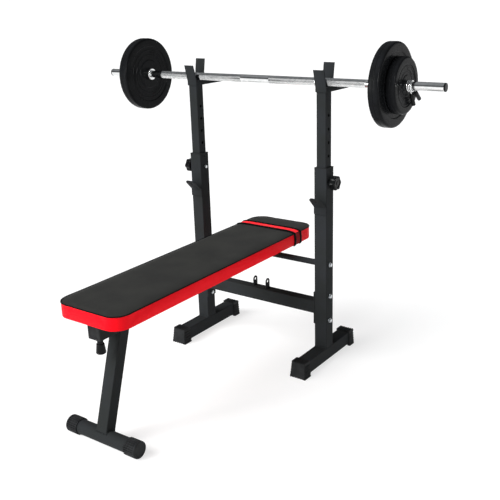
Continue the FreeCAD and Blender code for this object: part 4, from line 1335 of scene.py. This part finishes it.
# %% [markdown]
# ## Discs
# Each disc is a plastic shell filled with cement. Its outline shows what the mould
# gives it: a seam round the rim, deep round shoulders, a wide flat border, a sunk web
# with fine ridges on it, and a raised hub. The two faces are the same. Raised marks
# on the real web are left out; three plain arcs stand in their place on the web.

# %% Disc outlines
def disc_rows(thick, radius, border, hub, shoulder, web):
    """A disc's rows of (along, radius, fillet) in millimetres, from face to face."""
    half = thick / 2
    floor = half - web
    face = [(0, radius - 1.0, 0.2), (1.1, radius, 0.5), (half, radius, shoulder),
            (half, border, 1.2), (floor, border - web, 1.0)]
    ridge = (border + hub) / 2 + 2
    for spot in (ridge + 9, ridge - 9):
        face += [(floor, spot + 1.6, 0.2), (floor + 0.9, spot + 0.7, 0.4),
                 (floor + 0.9, spot - 0.7, 0.4), (floor, spot - 1.6, 0.2)]
    face += [(floor, hub + web, 1.0), (half - 0.4, hub, 1.2), (half - 0.4, 19, 0.8),
             (half - 1.6, 17.6, 0.6), (half - 1.6, 14.4, 0.3)]
    return face + [(-x, r, f) for x, r, f in reversed(face[1:])]


def arcs_on_web(half, low_r, high_r, lift=0.8 * MM, count=3, sweep=44):
    """Plain raised arcs on both faces of a disc's web."""
    meshes = []
    for way in (-1, 1):
        for n in range(count):
            mid = math.tau * n / count + math.radians(30)
            rings = []
            for k in range(19):
                angle = mid + math.radians(sweep) * (k / 18 - 0.5)
                section = [(half - 1.4 * MM, low_r), (half + lift * 0.7, low_r + 0.3 * MM),
                           (half + lift, low_r + 1.0 * MM), (half + lift, high_r - 1.0 * MM),
                           (half + lift * 0.7, high_r - 0.3 * MM), (half - 1.4 * MM, high_r)]
                rings.append([Vector((way * x, r * math.sin(angle), r * math.cos(angle)))
                              for x, r in section])
            meshes.append(skin(rings))
    return meshes


def make_disc(side, size, border, hub, shoulder, web):
    """One disc about the bar, its sizes in millimetres."""
    node = f"{size}_disc_{side}"
    low, high = corners(node)
    centre, thick, radius = (low + high) / 2, (high.x - low.x) / MM, (high.z - low.z) / 2 / MM
    shell = turned(disc_rows(thick, radius, border, hub, shoulder, web), centre, 144,
                   closed=True, fine=5)
    middle_r = ((border + hub) / 2 + 2) * MM
    marks = joined(*arcs_on_web((thick / 2 - web) * MM, middle_r - 4.5 * MM, middle_r + 4.5 * MM))
    marks.transform(Matrix.Translation(centre))
    return settle(f"{node}_shell", joined(shell, marks), node, "disc_plastic", [node], 40)


for side in SIDES:
    make_disc(side, "large", 106, 52, 9, 2.2)
    make_disc(side, "small", 68, 32, 8, 2.0)

# %% [markdown]
# ## Spring clips
# A clip is one length of spring wire wound three times, whose two ends turn down and
# out to a pair of handles. Squeezing them together opens the coil. The wire tree
# follows the winding, and each handle is a dipped sleeve with a rounded end.

# %% Winding a clip
CLIP_WIRE = 2.4 * MM
COIL_R = 14.4 * MM + CLIP_WIRE
CLIP_TURN, CLIP_SPREAD = math.radians(40), math.radians(10)
GRIP_MIDDLE, GRIP_HALF = 53 * MM, 22.5


def clip_path(start, way):
    """The wire's path: down one arm, round the coil, and down the other arm."""
    angles = [CLIP_TURN - CLIP_SPREAD, CLIP_TURN + CLIP_SPREAD]
    swept = 3 * math.tau + 2 * CLIP_SPREAD
    coil = []
    for k in range(97):
        angle = angles[0] + swept * k / 96
        x = start + way * (CLIP_WIRE + 0.3 * MM + 17.2 * MM * k / 96)
        coil.append(Vector((x, COIL_R * math.sin(angle), -COIL_R * math.cos(angle))))
    arms = []
    for end, angle, x in ((coil[0], angles[0], start + way * 8.5 * MM),
                          (coil[-1], angles[1], start + way * 18.5 * MM)):
        out = Vector((0, math.sin(angle), -math.cos(angle)))
        arms.append([Vector((end.x + (x - end.x) * t, 0, 0)) + out * (COIL_R + reach * MM)
                     for t, reach in ((0.35, 3), (0.75, 6), (1.0, 10), (1.0, 30))])
    return list(reversed(arms[0])) + coil + arms[1]


for side, sign in SIDES.items():
    low, high = corners(f"spring_clip_{side}")
    path = [p + BAR_AXIS for p in clip_path(low.x if sign > 0 else high.x, sign)]
    wire = grown(WIRE, chain(path), "chromed_steel", Radius=CLIP_WIRE, Sides=14)
    settle(f"clip_wire_{side}", wire, f"clip_{side}", "clip_wire", [f"spring_clip_{side}"], 40)
    handles = []
    for tip, before in ((path[0], path[1]), (path[-1], path[-2])):
        out = (tip - before).normalized()
        turn = out.to_track_quat("Z", "X").to_matrix().to_4x4()
        sleeve = turned([(-GRIP_HALF, 0, 0), (-GRIP_HALF, 5.4, 1.2), (-GRIP_HALF + 8, 6.5, 3),
                         (GRIP_HALF, 6.5, 4.4), (GRIP_HALF, 0, 0)], (0, 0, 0), 32, "z")
        reach = BAR_AXIS + Vector((tip.x, 0, 0)) + out * GRIP_MIDDLE
        sleeve.transform(Matrix.Translation(reach) @ turn)
        handles.append(sleeve)
    settle(f"clip_handles_{side}", joined(*handles), f"clip_{side}", "grip_vinyl",
           [f"clip_grips_{side}"], 40)
